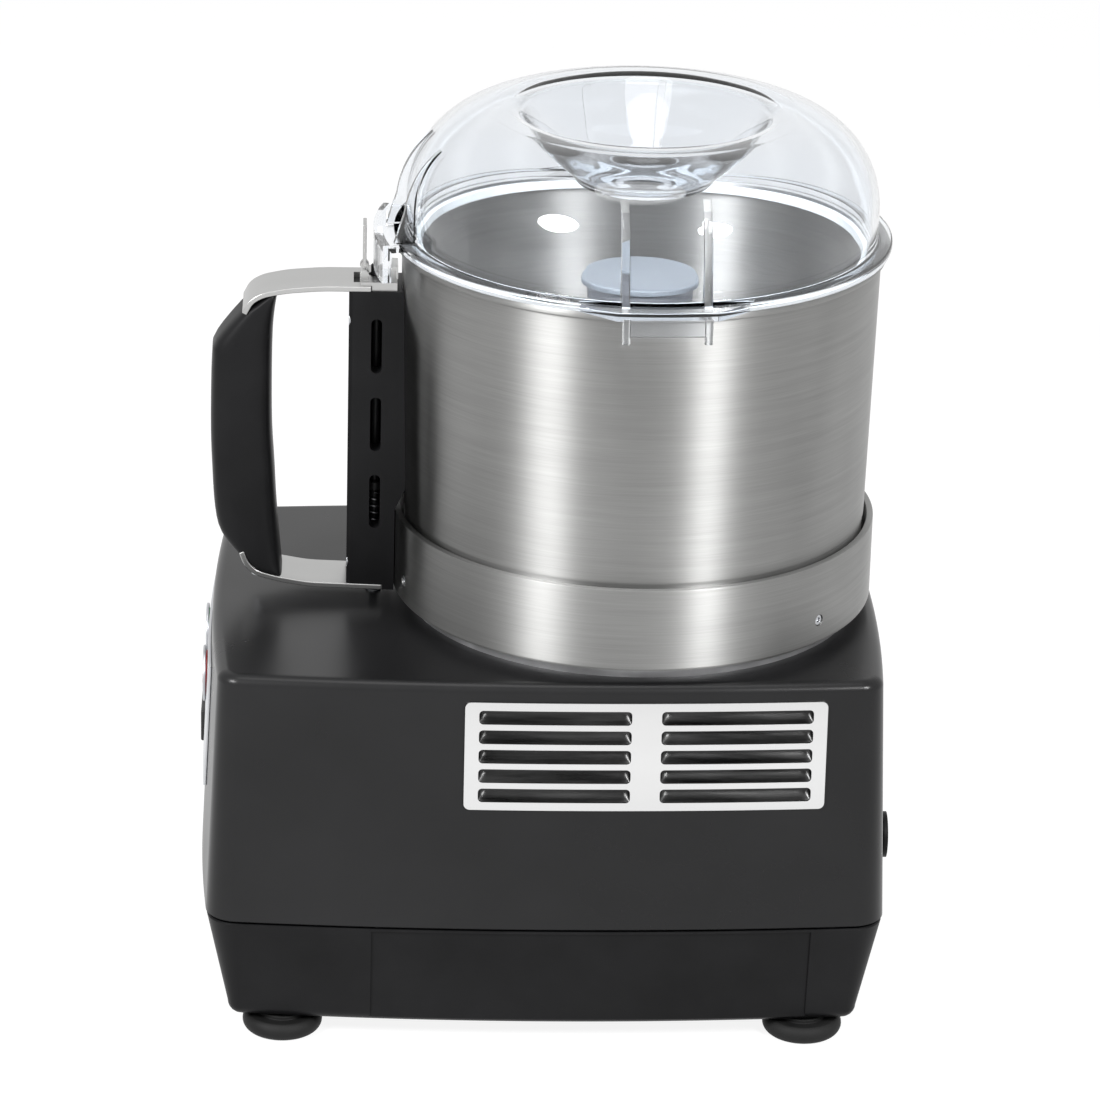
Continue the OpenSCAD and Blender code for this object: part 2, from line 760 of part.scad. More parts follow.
module flange_bolts() {
    top = ring_z + ring_t;
    low = base_top - wall - bolt_r;
    color("#8d9094")
        bolt_spots(bolt_ring, bolt_n, bolt_az)
            union() {
                translate([0, 0, top])
                    cylinder(r = bolt_r * head_share, h = bolt_r);
                translate([0, 0, low - bolt_r / 2])
                    cylinder(r = bolt_r, h = top - low + bolt_r / 2 + eps);
                translate([0, 0, low])
                    cylinder(r = bolt_r * head_share, h = bolt_r, $fn = 6);
            }
}

module bowl_ring() {
    color("#c4c5c6")
        difference() {
            spin([[bolt_ring - seat_w, ring_z], [ring_r - ring_bevel, ring_z], [ring_r, ring_z + ring_bevel],
                  [ring_r, ring_top - ring_lip], [ring_r - ring_lip, ring_top], [ring_r - ring_t, ring_top],
                  [ring_r - ring_t, ring_z + ring_t], [bolt_ring - seat_w, ring_z + ring_t]]);
            bolt_spots(bolt_ring, bolt_n, bolt_az)
                cylinder(r = bolt_r + fit, h = far);
            set_screws()
                cylinder(r = set_r + fit, h = ring_t * 3);
        }
}

set_r = 2.2;                // radius of a set screw
set_slot = 0.7;             // width of its driver slot
set_deep = 0.8;             // depth of that slot
set_sink = 0.4;             // depth of its end under the ring's face
set_up = 9.8;               // height of the set screws in the ring
set_az = 47;
set_n = 3;

module set_screws() {
    for (i = [0 : set_n - 1])
        on_axis(ring_z + set_up)
            rotate([0, 90, set_az + 360 * i / set_n])
                translate([0, 0, ring_r - ring_t * 2])
                    children();
}

module ring_screws() {
    color("#9a9c9f")
        set_screws()
            difference() {
                translate([0, 0, ring_t - set_sink])
                    cylinder(r = set_r, h = ring_t);
                translate([-set_r, -set_slot / 2, ring_t * 2 - set_sink - set_deep])
                    cube([set_r * 2, set_slot, ring_t]);
            }
}

module shaft_seal() {
    color("#141414")
        pipe(seal_r, shaft_r + seal_bore, boss_top - seal_h, boss_top);
}

module upper_bearing() {
    color("#b4b7ba")
        pipe(bearing_r, shaft_r + bearing_bore, stator_top + bearing_h, stator_top + 2 * bearing_h);
}

module lower_bearing() {
    color("#b4b7ba")
        pipe(bearing_r, shaft_r + bearing_bore, lower_z, lower_z + bearing_h);
}

module motor_stator() {
    color("#8a6a3a")
        difference() {
            pipe(stator_r, rotor_r + rotor_gap, stator_low, stator_top);
            bolt_spots(motor_bolt_pitch, bolt_n, 0)
                cylinder(r = motor_bolt_r + fit, h = far);
        }
}

module motor_end_cap() {
    color("#9fa2a5")
        difference() {
            on_axis(end_z)
                cylinder(r = stator_r, h = end_h);
            on_axis(lower_z + bearing_h - eps)
                cylinder(r = stator_r - end_rim, h = far);
            on_axis(lower_z)
                cylinder(r = bearing_r + fit, h = bearing_h);
            on_axis(0)
                cylinder(r = shaft_r + shaft_room, h = far);
            bolt_spots(motor_bolt_pitch, bolt_n, 0)
                cylinder(r = motor_bolt_r + fit, h = far);
        }
}

module motor_bolts() {
    color("#77797c")
        bolt_spots(motor_bolt_pitch, bolt_n, 0)
            union() {
                translate([0, 0, end_z])
                    cylinder(r = motor_bolt_r, h = stator_top + bearing_h - motor_bolt_end - end_z);
                translate([0, 0, end_z - motor_head_h])
                    cylinder(r = motor_bolt_r * head_share, h = motor_head_h);
            }
}

// Cut of the shaft's drive flat
module shaft_cut(c) {
    translate([shaft_r - flat_in + c, -shaft_r * 2, tube_top + flat_up])
        cube([shaft_r * 2, shaft_r * 4, far]);
}

module motor_shaft() {
    color("#c9cbce")
        on_axis(0)
            difference() {
                translate([0, 0, shaft_z0])
                    cylinder(r = shaft_r, h = shaft_z1 - shaft_z0);
                shaft_cut(0);
            }
}

module motor_rotor() {
    color("#7d7f82")
        pipe(rotor_r, shaft_r, stator_low + rotor_gap * 3, stator_top - rotor_gap * 3);
}

module cooling_fan() {
    color("#2a2a2d")
        union() {
            pipe(fan_hub_r, shaft_r, shaft_z0, shaft_z0 + fan_h);
            bolt_spots(0, fan_n, 0)
                translate([fan_hub_r - fan_t / 2, -fan_t / 2, shaft_z0 + fan_t / 2])
                    cube([fan_r - fan_hub_r + fan_t / 2, fan_t, fan_h - fan_t / 2]);
        }
}

module bowl() {
    in_r = bowl_out - bowl_corner;
    in_z = bowl_floor + bowl_corner;
    color("#c9cacb")
        spin(concat(
            [[tube_r + run, bowl_floor]],
            arc(in_r, in_z, bowl_corner, -90, 0, corner_n),
            [[bowl_out, ring_top - bowl_step], [bowl_foot_r, ring_top + groove_h], [bowl_top_r, rim_z - rim_neck],
             [bowl_top_r, rim_z - rim_h - rim_edge], [rim_r - rim_edge, rim_z - rim_h],
             [rim_r, rim_z - rim_h + rim_edge], [rim_r, rim_z - rim_edge], [rim_r - rim_edge, rim_z],
             [bowl_top_r - bowl_t, rim_z], [bowl_top_r - bowl_t, rim_z - rim_neck],
             [bowl_foot_r - bowl_t, ring_top + groove_h], [bowl_out - bowl_t, ring_top - bowl_step]],
            arc(in_r, in_z, bowl_corner - bowl_t, 0, -90, corner_n),
            [[tube_r + run, bowl_floor + bowl_t]]));
}

module centre_tube() {
    color("#b9babc")
        spin([[tube_r - tube_t, boss_top + run], [tube_r + tube_foot, boss_top + run],
              [tube_r + tube_foot, bowl_floor - run], [tube_r, bowl_floor - run],
              [tube_r, tube_top], [tube_r - tube_t, tube_top]]);
}

bowl_slope = bowl_flare / (rim_z - rim_neck - ring_top - groove_h);

// Plan of the channel: square at the bowl, bevelled in front
channel_plan = [[chan_w / 2, chan_in - bowl_foot_r], [chan_w / 2, chan_cham - chan_out],
                [chan_w / 2 - chan_cham, -chan_out], [chan_cham - chan_w / 2, -chan_out],
                [-chan_w / 2, chan_cham - chan_out], [-chan_w / 2, chan_in - bowl_foot_r]];

module guide_channel() {
    color("#141416")
        difference() {
            on_axis(chan_z0)
                linear_extrude(chan_h)
                    polygon(channel_plan);
            on_axis(ring_top + groove_h)
                cylinder(r1 = bowl_foot_r + fit, r2 = bowl_foot_r + fit + bowl_slope * bowl_rise, h = bowl_rise);
            on_axis(0)
                cylinder(r = ring_r + gap, h = ring_top + gap);
            on_axis(ring_top + gap - eps)
                cylinder(r1 = ring_r + gap, r2 = bowl_foot_r, h = chan_cone);
            at_rod(coil_z0)
                cylinder(r = bore_r, h = chan_z1 - coil_z0 - bush_h);
            at_rod(0)
                cylinder(r = rod_r + gap, h = far);
            at_rod(chan_z1 - bush_h)
                cylinder(r = bush_r + fit, h = far);
            for (i = [0 : slot_n - 1])
                at_rod(chan_z1 - slot_down - slot_h / 2 - i * slot_step)
                    rod_slot();
            translate([-strap_w / 2 - fit, axis_y - chan_out - strap_t, chan_z0 - strap_t])
                cube([strap_w + 2 * fit, chan_out - strap_in + strap_t + fit, strap_t * 2 + fit]);
            channel_holes()
                cylinder(r = stud_r + fit, h = far);
            channel_holes()
                translate([0, 0, -far])
                    cylinder(r = stud_r * 2 + fit, h = far + stud_head);
            latch_holes()
                cylinder(r = latch_stud_r + fit, h = 2 * latch_stud_l, center = true);
        }
}

// Two rows of screws that hold the channel to the bowl wall
module channel_holes() {
    for (x = [-stud_x, stud_x], z = [chan_z0 + stud_low, chan_z1 - stud_high])
        translate([x, axis_y - chan_out, z])
            rotate([-90, 0, 0])
                children();
}

module rod_slot() {
    translate([0, -slot_w / 2, slot_w / 2 - slot_h / 2])
        cube([chan_w, slot_w, slot_h - slot_w]);
    for (s = [-1, 1])
        translate([0, 0, s * (slot_h - slot_w) / 2])
            rotate([0, 90, 0])
                cylinder(r = slot_w / 2, h = chan_w);
}

module channel_screws() {
    color("#8f9194")
        channel_holes()
            union() {
                translate([0, 0, stud_sink])
                    cylinder(r = stud_r * 2, h = stud_head - stud_sink);
                cylinder(r = stud_r, h = stud_l);
            }
}

module rod_guide() {
    color("#b8babd")
        at_rod(chan_z1 - bush_h)
            difference() {
                cylinder(r = bush_r, h = bush_h);
                translate([0, 0, -eps])
                    cylinder(r = rod_r + rod_bore, h = far);
            }
}

// Handle strap and grip: both follow the same distances out from the channel
strap_tuck = 14;            // length of the lower leg under the channel
strap_in = chan_out - strap_tuck;
leg_z = chan_z0 + strap_t / 2;
top_z = chan_z1 + strap_t / 2;
leg_h = top_z - leg_z;
upper_shares = [[-0.16, 0], [0.19, 0], [0.453, -0.009], [0.623, -0.025], [0.708, -0.046], [0.755, -0.086]];
lower_shares = [[0, 0], [0.283, 0.008], [0.509, 0.025], [0.66, 0.044], [0.736, 0.074], [0.77, 0.115]];
grip_shares = [[0.515, -0.021], [0.551, -0.163], [0.555, -0.45], [0.534, -0.62], [0.517, -0.752],
               [0.483, -0.924], [0.474, -0.971], [0.632, -0.953], [0.745, -0.926], [0.906, -0.845],
               [0.966, -0.763], [0.992, -0.592], [1, -0.45], [0.989, -0.245], [0.962, -0.188],
               [0.785, -0.086], [0.689, -0.053], [0.613, -0.033]];

// Shares of the grip's reach and of the height between the legs, from the upper or the lower leg
function along(p, z) = [for (q = p) [chan_out + grip_reach * q[0], z + leg_h * q[1]]];
upper_leg = along(upper_shares, top_z);
lower_leg = concat([[strap_in, leg_z]], along(lower_shares, leg_z));
grip_side = along(grip_shares, top_z);
grip_half = strap_w * 0.49;
grip_mid = chan_out + grip_reach * 0.745;
grip_bow = 0.5;             // length by which the grip's sides bow
grip_round = 7;             // plan radius of the grip
catch_w = 12.6;             // width of the slot in the upper leg
catch_l = 2.4;              // length of that slot

module handle_strap() {
    color("#bfc0c1")
        difference() {
            union() {
                in_handle(strip(upper_leg, strap_t), strap_w);
                in_handle(strip(lower_leg, strap_t), strap_w);
            }
            translate([-catch_w / 2, axis_y - foot_out - gap - catch_l, top_z - strap_t])
                cube([catch_w, catch_l, strap_t * 2]);
            at_rod(0)
                cylinder(r = rod_r + gap, h = chan_z0 + chan_h / 2);
            grip_bolt_at(0)
                cylinder(r = stud_r + fit, h = leg_z + leg_h / 4);
        }
}

module grip_plan(w, l, bow, r) {
    a = w - r;
    b = l - r;
    polygon(concat(arc(a, b, r, 0, 90, corner_n), [[0, l + bow]], arc(-a, b, r, 90, 180, corner_n),
                   [[-w - bow, 0]], arc(-a, -b, r, 180, 270, corner_n), [[0, -l - bow]],
                   arc(a, -b, r, 270, 360, corner_n), [[w + bow, 0]]));
}

module handle_grip() {
    color("#161618")
        difference() {
            intersection() {
                in_handle(grip_side, strap_w * 2);
                translate([0, axis_y - grip_mid, 0])
                    linear_extrude(rim_z)
                        grip_plan(grip_half, chan_out + grip_reach - grip_mid + grip_bow, grip_bow, grip_round);
            }
            in_handle(strip(upper_leg, strap_t + 2 * fit), strap_w * 1.1);
            in_handle(strip(lower_leg, strap_t + 2 * fit), strap_w * 1.1);
            grip_bolt_at(0)
                cylinder(r = stud_r + fit, h = far);
        }
}

// The tie bolt's head lies under the lower leg, and its thread ends under the upper one
bolt_u = chan_out + grip_reach * 0.64;
head_h = 1.6;               // height of its head
bolt_low = 0.9;             // height of its head over the lower leg's middle
bolt_down = 6.5;            // distance of its end under the upper leg's middle

module grip_bolt_at(z) {
    translate([0, axis_y - bolt_u, z])
        children();
}

module grip_bolt() {
    color("#8f9194")
        grip_bolt_at(leg_z + bolt_low)
            union() {
                cylinder(r = stud_r * head_share, h = head_h);
                cylinder(r = stud_r, h = leg_h - bolt_low - bolt_down);
            }
}

// Latch on top of the channel
foot_t = 1.4;               // thickness of the latch foot
foot_z = chan_z1 + strap_t;
foot_len = 14;              // length of the latch foot
foot_over = 6.3;            // length of the foot outside the rod
foot_out = rod_u + foot_over;
foot_side_in = 1;           // distance of the foot's edge inside the channel's
latch_w = 10;               // width of the latch strip
latch_t = 1.4;              // thickness of the latch strip
latch_over = 4.9;           // distance of its pin outside the rod
latch_u = rod_u + latch_over;
latch_up = 4.5;             // height of its top over the rim
latch_top = rim_z + latch_up;
knuckle_r = 1.5;            // radius of its knuckle
knuckle_up = 0.4;           // clearance under the knuckle
knuckle_z = foot_z + foot_t + knuckle_r + knuckle_up;
latch_pin_r = 0.7;          // radius of its pin
ear_w = 2.2;                // width of an ear
ear_r = 1.7;                // radius of an ear
hoop_in = 7.6;              // distance of the hoop's inner leg from the rod
hoop_out = 3.1;             // distance of its outer leg from the rod
hoop_h = 4.2;               // height of the hoop
hoop_t = 0.8;               // thickness of the hoop
hoop_w = 12;                // width of the hoop
latch_stud_r = 1.4;         // radius of a rivet in the latch foot
latch_stud_l = 1.8;         // length of that rivet
latch_stud_x = 8.8;         // distance of the rivets from the middle
latch_stud_in = 4.6;        // distance of the rivets inside the rod
head_r = 2.4;               // radius of the rod's head
head_up = 8;                // height of the head's top over the channel
head_low = 2.3;             // height of its underside over the channel
head_bevel = 1;             // height of the head's bevel
head_room = 0.9;            // clearance of the hole round the head
head_top = chan_z1 + head_up;

module latch_holes() {
    for (x = [-latch_stud_x, latch_stud_x])
        translate([x, axis_y - rod_u + latch_stud_in, chan_z1])
            children();
}

module latch_foot() {
    half = chan_w / 2 - foot_side_in;
    hoop = [[rod_u - hoop_in, foot_z + foot_t - eps], [rod_u - hoop_in, foot_z + foot_t + hoop_h],
            [rod_u - hoop_out, foot_z + foot_t + hoop_h], [rod_u - hoop_out, foot_z + foot_t - eps]];
    color("#b5b7b9")
        union() {
            difference() {
                union() {
                    translate([-half, axis_y - foot_out, foot_z])
                        cube([half * 2, foot_len, foot_t]);
                    translate([-half, axis_y - upper_leg[0][0] + gap, chan_z1])
                        cube([half * 2, foot_len - foot_out + upper_leg[0][0] - gap, strap_t + eps]);
                }
                at_rod(chan_z1 - foot_t)
                    cylinder(r = head_r + head_room, h = 4 * foot_t);
            }
            for (s = [-1, 1])
                translate([s * (latch_w / 2 + gap + ear_w / 2) - ear_w / 2, axis_y - latch_u, 0])
                    knuckle_ear();
            translate([-latch_w / 2 - gap - ear_w, axis_y - latch_u, knuckle_z])
                rotate([0, 90, 0])
                    cylinder(r = latch_pin_r, h = latch_w + 2 * (gap + ear_w));
            in_handle(strip(hoop, hoop_t), hoop_w);
            latch_holes()
                translate([0, 0, -latch_stud_l])
                    cylinder(r = latch_stud_r, h = latch_stud_l + strap_t + foot_t / 2);
        }
}

module knuckle_ear() {
    translate([0, 0, knuckle_z])
        rotate([0, 90, 0])
            cylinder(r = ear_r, h = ear_w);
    translate([0, -ear_r * 0.8, foot_z + foot_t / 2])
        cube([ear_w, ear_r * 1.6, knuckle_z - foot_z - foot_t / 2]);
}

module lid_latch() {
    color("#c3c5c7")
        difference() {
            union() {
                translate([-latch_w / 2, axis_y - latch_u - latch_t / 2, knuckle_z])
                    cube([latch_w, latch_t, latch_top - knuckle_z]);
                translate([-latch_w / 2, axis_y - latch_u, knuckle_z])
                    rotate([0, 90, 0])
                        cylinder(r = knuckle_r, h = latch_w);
            }
            translate([-latch_w, axis_y - latch_u, knuckle_z])
                rotate([0, 90, 0])
                    cylinder(r = latch_pin_r + rod_bore, h = latch_w * 2);
        }
}

module push_rod() {
    color("#2a2b2d")
        at_rod(0)
            union() {
                translate([0, 0, pin_top + run])
                    cylinder(r = rod_r, h = head_top - head_up / 2 - pin_top - run);
                translate([0, 0, coil_z1 + coil_wire + coil_end])
                    cylinder(r = bore_r - gap, h = pin_collar_h);
                translate([0, 0, chan_z1 + head_low])
                    cylinder(r = head_r, h = head_up - head_low - head_bevel);
                translate([0, 0, head_top - head_bevel])
                    cylinder(r1 = head_r, r2 = head_r - head_bevel, h = head_bevel);
            }
}

coil_pitch = (coil_h - 2 * coil_wire - 2 * coil_end) / coil_n;
echo(coil_self_gap = coil_pitch - 2 * coil_wire);

// One ring of the wire's skin at step k along the curl
function coil_ring(k) =
    let (a = 360 * k / coil_rings, z = coil_z0 + coil_wire + coil_end + coil_pitch * k / coil_rings)
    [for (j = [0 : coil_sides - 1])
        let (b = 360 * j / coil_sides)
        [(coil_r + coil_wire * cos(b)) * cos(a), (coil_r + coil_wire * cos(b)) * sin(a),
         z + coil_wire * sin(b)]];

module rod_spring() {
    m = coil_n * coil_rings;
    n = coil_sides;
    pts = [for (k = [0 : m]) for (p = coil_ring(k)) p];
    color("#6d6f72")
        at_rod(0)
            polyhedron(points = pts, faces = concat(
                [[for (j = [0 : n - 1]) j]],
                [[for (j = [n - 1 : -1 : 0]) m * n + j]],
                [for (k = [0 : m - 1]) for (j = [0 : n - 1])
                    let (q = (j + 1) % n) [k * n + j, (k + 1) * n + j, (k + 1) * n + q]],
                [for (k = [0 : m - 1]) for (j = [0 : n - 1])
                    let (q = (j + 1) % n) [k * n + j, (k + 1) * n + q, k * n + q]]));
}

module blade_hub() {
    color("#5b5f66")
        difference() {
            on_axis(hub_z0)
                union() {
                    cylinder(r = hub_r, h = cap_top - cap_h - hub_z0);
                    cylinder(r = collar_r, h = collar_h);
                }
            on_axis(hub_z0 - eps)
                cylinder(r = tube_r + hub_room, h = tube_top + collar_w - hub_z0);
            on_axis(0)
                difference() {
                    cylinder(r = shaft_r + run, h = shaft_z1 + shaft_room);
                    shaft_cut(run);
                }
            on_axis(cap_top - cap_h - cap_peg_h - gap)
                cylinder(r = cap_peg_r + fit, h = far);
        }
}

// One swept arm, in shares of the blade's radius
arm_shares = [[0.1, -0.26], [0.34, -0.27], [0.6, -0.2], [0.82, -0.04], [0.96, 0.16], [0.975, 0.22],
              [0.8, 0.13], [0.58, 0.06], [0.4, 0.1], [0.2, 0.22]];

module blade_pair(z, turn) {
    on_axis(z)
        rotate([0, 0, turn])
            difference() {
                union() {
                    for (s = [0, 180])
                        rotate([0, 0, s])
                            linear_extrude(blade_t)
                                polygon(arm_shares * blade_r);
                    cylinder(r = collar_r, h = blade_t);
                }
                translate([0, 0, -eps])
                    cylinder(r = hub_r + fit, h = far);
            }
}

module lower_blade() {
    color("#d0d2d4")
        blade_pair(low_z, low_turn);
}

module upper_blade() {
    color("#d0d2d4")
        union() {
            blade_pair(high_z, high_turn);
            pipe(collar_r - hub_room, hub_r + 2 * fit, low_z + blade_t + fit, high_z + blade_t / 2);
        }
}

module hub_cap() {
    color("#a9b4be")
        on_axis(0)
            union() {
                translate([0, 0, cap_top - cap_h])
                    cylinder(r = cap_r, h = cap_h - cap_edge);
                translate([0, 0, cap_top - cap_edge])
                    cylinder(r1 = cap_r, r2 = cap_r - cap_edge, h = cap_edge);
                translate([0, 0, cap_top - cap_h - cap_peg_h])
                    cylinder(r = cap_peg_r, h = cap_peg_h + eps);
            }
}

// Lid
seat_up = 0.2;              // clearance of the lid over the rim
seat_z = rim_z + seat_up;
dome_in = 1.5;              // distance of the dome wall inside the bowl's radius
dome_r = bowl_top_r - dome_in;
crest_z = rim_z + dome_h;
brim_over = 1.4;            // length of the brim outside the bowl rim
brim_r = rim_r + brim_over;
brim_t = 3.2;               // thickness of the brim
brim_edge = 0.6;            // width of its bevels
brim_fillet = 2;            // height of the fillet between brim and dome
arc_r = dome_h * 0.7;
arc_end = 84;
arc_n = 12;
arc_x = dome_r - arc_r;
arc_z = crest_z - arc_r;
fold_r = dome_r * 0.57;
fold_round = 3.4;           // radius where the dome turns down into the funnel
fold_end = 128;
fold_n = 4;
funnel_h = 28.5;            // depth of the funnel's bottom under the crest
funnel_z = crest_z - funnel_h;
skirt_h = 5;                // height of the lid's lip inside the bowl
skirt_t = 1.6;              // extra thickness of that lip
seal_w = 2.4;               // width of the lid seal
seal_tall = 3.4;            // height of the lid seal
seal_down = 1;              // distance of the seal under the brim

// The funnel's curve, in shares of its width and depth
funnel_shares = [[0.685, 0.667], [0.438, 0.351], [0.288, 0.147], [0.219, 0.056], [0.137, 0.014], [0.027, 0]];
funnel_inner = [[0.027, 0], [0.164, 0.02], [0.274, 0.07], [0.356, 0.2], [0.499, 0.37], [0.729, 0.665]];
funnel_w = fold_r - fill_r;
lip_z = funnel_z + lid_t * 0.4;

function funnel(p, z, h) = [for (q = p) [fill_r + funnel_w * q[0], z + h * q[1]]];

dome_outer = concat(
    [[brim_r - brim_edge, seat_z], [brim_r, seat_z + brim_edge], [brim_r, seat_z + brim_t - brim_edge],
     [brim_r - brim_edge, seat_z + brim_t], [dome_r + brim_fillet / 2, seat_z + brim_t],
     [dome_r, seat_z + brim_t + brim_fillet]],
    arc(arc_x, arc_z, arc_r, 0, arc_end, arc_n),
    arc(fold_r + brim_edge, crest_z - fold_round, fold_round, 90, fold_end, fold_n),
    funnel(funnel_shares, lip_z, funnel_h), [[fill_r, lip_z - brim_edge]]);
dome_inner = concat(
    [[fill_r, lip_z - lid_t + brim_edge]],
    funnel(funnel_inner, lip_z - lid_t, funnel_h),
    arc(fold_r + brim_edge, crest_z - fold_round - lid_t, fold_round, fold_end, 90, fold_n),
    arc(arc_x, arc_z, arc_r - lid_t, arc_end, 0, arc_n),
    [[dome_r - lid_t, seat_z - skirt_h], [dome_r - lid_t + skirt_t, seat_z - skirt_h],
     [dome_r - lid_t + skirt_t, seat_z]]);

clip_az = 2.5;
clip_out = 5.9;             // length by which a clip stands outside the brim
clip_r = brim_r + clip_out;
clip_half = 15.2;           // distance of a fin from the clip's middle
fin_t = 3;                  // thickness of a fin
fin_end = 43;               // angle on the dome where a fin ends
fin_sink = 1;               // depth of a fin's root in the dome
fin_proud = 4;              // width of a fin over the dome at its foot
fin_tip = 0.3;              // width of a fin over the dome at its upper end
fin_n = 6;
post_d = 3;                 // depth of a post under the brim
post_h = 9.2;               // height of a post under the brim
hook_t = 1.6;               // thickness of the hook plate
hook_h = 6.2;               // height of the hook plate
ear_span = 33;              // half length of a clip's ear where it leaves the brim
ear_in = 7;                 // distance of the ear's root inside the brim
ear_flat = 17.5;            // half length of the ear's front
ear_bevel = 1.5;            // bevel of the ear's corners
ear_step = 0.2;             // step from the brim's faces down to the ear's

// Point of a fin at step i up the dome, a height over the dome's face, in the plane at distance off
function fin_pt(i, over, off) =
    let (a = fin_end * i / fin_n, r = arc_x + (arc_r + over) * cos(a))
    [sqrt(r * r - off * off), arc_z + (arc_r + over) * sin(a)];

// Fin that stands off the dome and runs out at its upper end
module fin(off, reach) {
    root = [for (i = [0 : fin_n]) fin_pt(i, -fin_sink, off)];
    edge = [for (i = [fin_n : -1 : 0]) fin_pt(i, fin_tip + (fin_proud - fin_tip) * (1 - i / fin_n), off)];
    translate([0, off + fin_t / 2, 0])
        rotate([90, 0, 0])
            linear_extrude(fin_t)
                polygon(concat([[root[0][0], seat_z + brim_t / 2]], root, edge, [[reach, seat_z + brim_t / 2]]));
}

module ear(reach, flat, span) {
    translate([0, 0, seat_z + ear_step])
        linear_extrude(brim_t - 2 * ear_step)
            polygon([[brim_r - ear_in, -span], [reach - ear_bevel, -flat - ear_bevel], [reach, -flat],
                     [reach, flat], [reach - ear_bevel, flat + ear_bevel], [brim_r - ear_in, span]]);
}

// Ear, two fins, two posts and the plate that hangs outside the bowl's rim
module clip(az) {
    on_axis(0)
        rotate([0, 0, az]) {
            ear(clip_r, ear_flat, ear_span);
            for (s = [-1, 1]) {
                fin(s * clip_half, clip_r - clip_out * 0.8);
                translate([clip_r - post_d, s * clip_half - fin_t / 2, seat_z - post_h])
                    cube([post_d, fin_t, post_h + brim_t / 2]);
            }
            translate([clip_r - hook_t, -clip_half, seat_z - hook_h])
                cube([hook_t, clip_half * 2, hook_h + brim_t / 2]);
        }
}

tab_r = clip_r + 1.1;       // radius of the skirt over the handle
tab_a = -106;
tab_b = -75;
tab_step = 0.2;             // step from the tongue's faces in to those of the half with the cam
tab_lap = 0.4;              // angle by which the tongue's halves lap
cam_a = -90.5;
tab_fins = -84;
tab_half = 13;              // distance of those fins from their middle
cam_in = 3.5;               // depth of the cam that presses the rod
cam_z = head_top + gap;
tab_z = head_top + rod_travel + gap * 2;

// Section of the tongue: its skirt is t thick and ends at height low, and its faces lie step inside
function tab_section(t, low, step) =
    [[dome_r - lid_t / 2 + step, seat_z + step], [tab_r - t, seat_z + step], [tab_r - t, low],
     [tab_r - step, low], [tab_r - step, seat_z + brim_t - step], [dome_r - lid_t / 2 + step, seat_z + brim_t - step]];

// Skirted tongue over the handle; its cam presses the rod's head
module interlock_tab() {
    sweep(tab_section(hook_t, tab_z, 0), tab_a, cam_a + tab_lap);
    sweep(tab_section(cam_in, cam_z, tab_step), cam_a, tab_b);
    on_axis(0)
        rotate([0, 0, tab_fins])
            for (s = [-1, 1])
                fin(s * tab_half, clip_r - clip_out * 0.8);
}

module lid() {
    color("#dfe6ec", 0.35)
        union() {
            spin(concat(dome_outer, dome_inner));
            clip(clip_az);
            clip(180 + clip_az);
            interlock_tab();
        }
}

module lid_seal() {
    seal_out = dome_r - lid_t - run;
    color("#c9d0d6")
        spin([[seal_out - seal_w, seat_z - seal_down - seal_tall], [seal_out, seat_z - seal_down - seal_tall],
              [seal_out, seat_z - seal_down], [seal_out - seal_w, seat_z - seal_down]]);
}

housing();
lower_casing();
feet();
foot_screws();
vent_grille();
control_plate();
start_button();
stop_button();
pulse_button();
switch_block();
control_board();
capacitor();
cable_gland();
microswitch();
interlock_pin();
motor_flange();
flange_bolts();
bowl_ring();
ring_screws();
shaft_seal();
upper_bearing();
lower_bearing();
motor_stator();
motor_end_cap();
motor_bolts();
motor_shaft();
motor_rotor();
cooling_fan();
bowl();
centre_tube();
guide_channel();
handle_strap();
handle_grip();
grip_bolt();
channel_screws();
latch_foot();
lid_latch();
rod_guide();
push_rod();
rod_spring();
blade_hub();
lower_blade();
upper_blade();
hub_cap();
lid();
lid_seal();
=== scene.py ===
# Tabletop food processor: black motor base, brushed steel bowl with a side handle, clear domed lid.
# The bowl stands on a vertical axis behind the middle of the base; its handle points towards -Y.
import json
import math

import bmesh
import bpy
from mathutils import Matrix, Vector


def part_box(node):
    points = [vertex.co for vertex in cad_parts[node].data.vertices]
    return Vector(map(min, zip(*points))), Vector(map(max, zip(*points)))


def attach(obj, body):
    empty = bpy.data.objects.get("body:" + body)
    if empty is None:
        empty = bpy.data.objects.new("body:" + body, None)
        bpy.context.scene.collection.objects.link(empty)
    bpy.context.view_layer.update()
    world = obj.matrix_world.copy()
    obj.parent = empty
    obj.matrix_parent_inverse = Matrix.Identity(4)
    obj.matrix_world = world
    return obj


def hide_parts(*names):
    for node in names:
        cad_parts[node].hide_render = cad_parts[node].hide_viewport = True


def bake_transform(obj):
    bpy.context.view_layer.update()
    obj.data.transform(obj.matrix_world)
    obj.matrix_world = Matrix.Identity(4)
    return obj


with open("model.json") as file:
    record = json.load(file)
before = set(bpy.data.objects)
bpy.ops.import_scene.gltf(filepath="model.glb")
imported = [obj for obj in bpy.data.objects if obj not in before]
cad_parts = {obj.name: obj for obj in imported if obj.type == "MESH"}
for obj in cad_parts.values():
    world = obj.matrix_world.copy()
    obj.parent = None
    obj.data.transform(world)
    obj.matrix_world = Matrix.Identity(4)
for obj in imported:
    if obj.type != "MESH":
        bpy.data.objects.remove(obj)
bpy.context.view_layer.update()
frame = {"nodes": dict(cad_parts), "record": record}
nodes = frame["nodes"]
scene = bpy.context.scene
mm = 0.001


def stage(text):
    print(text, flush=True)


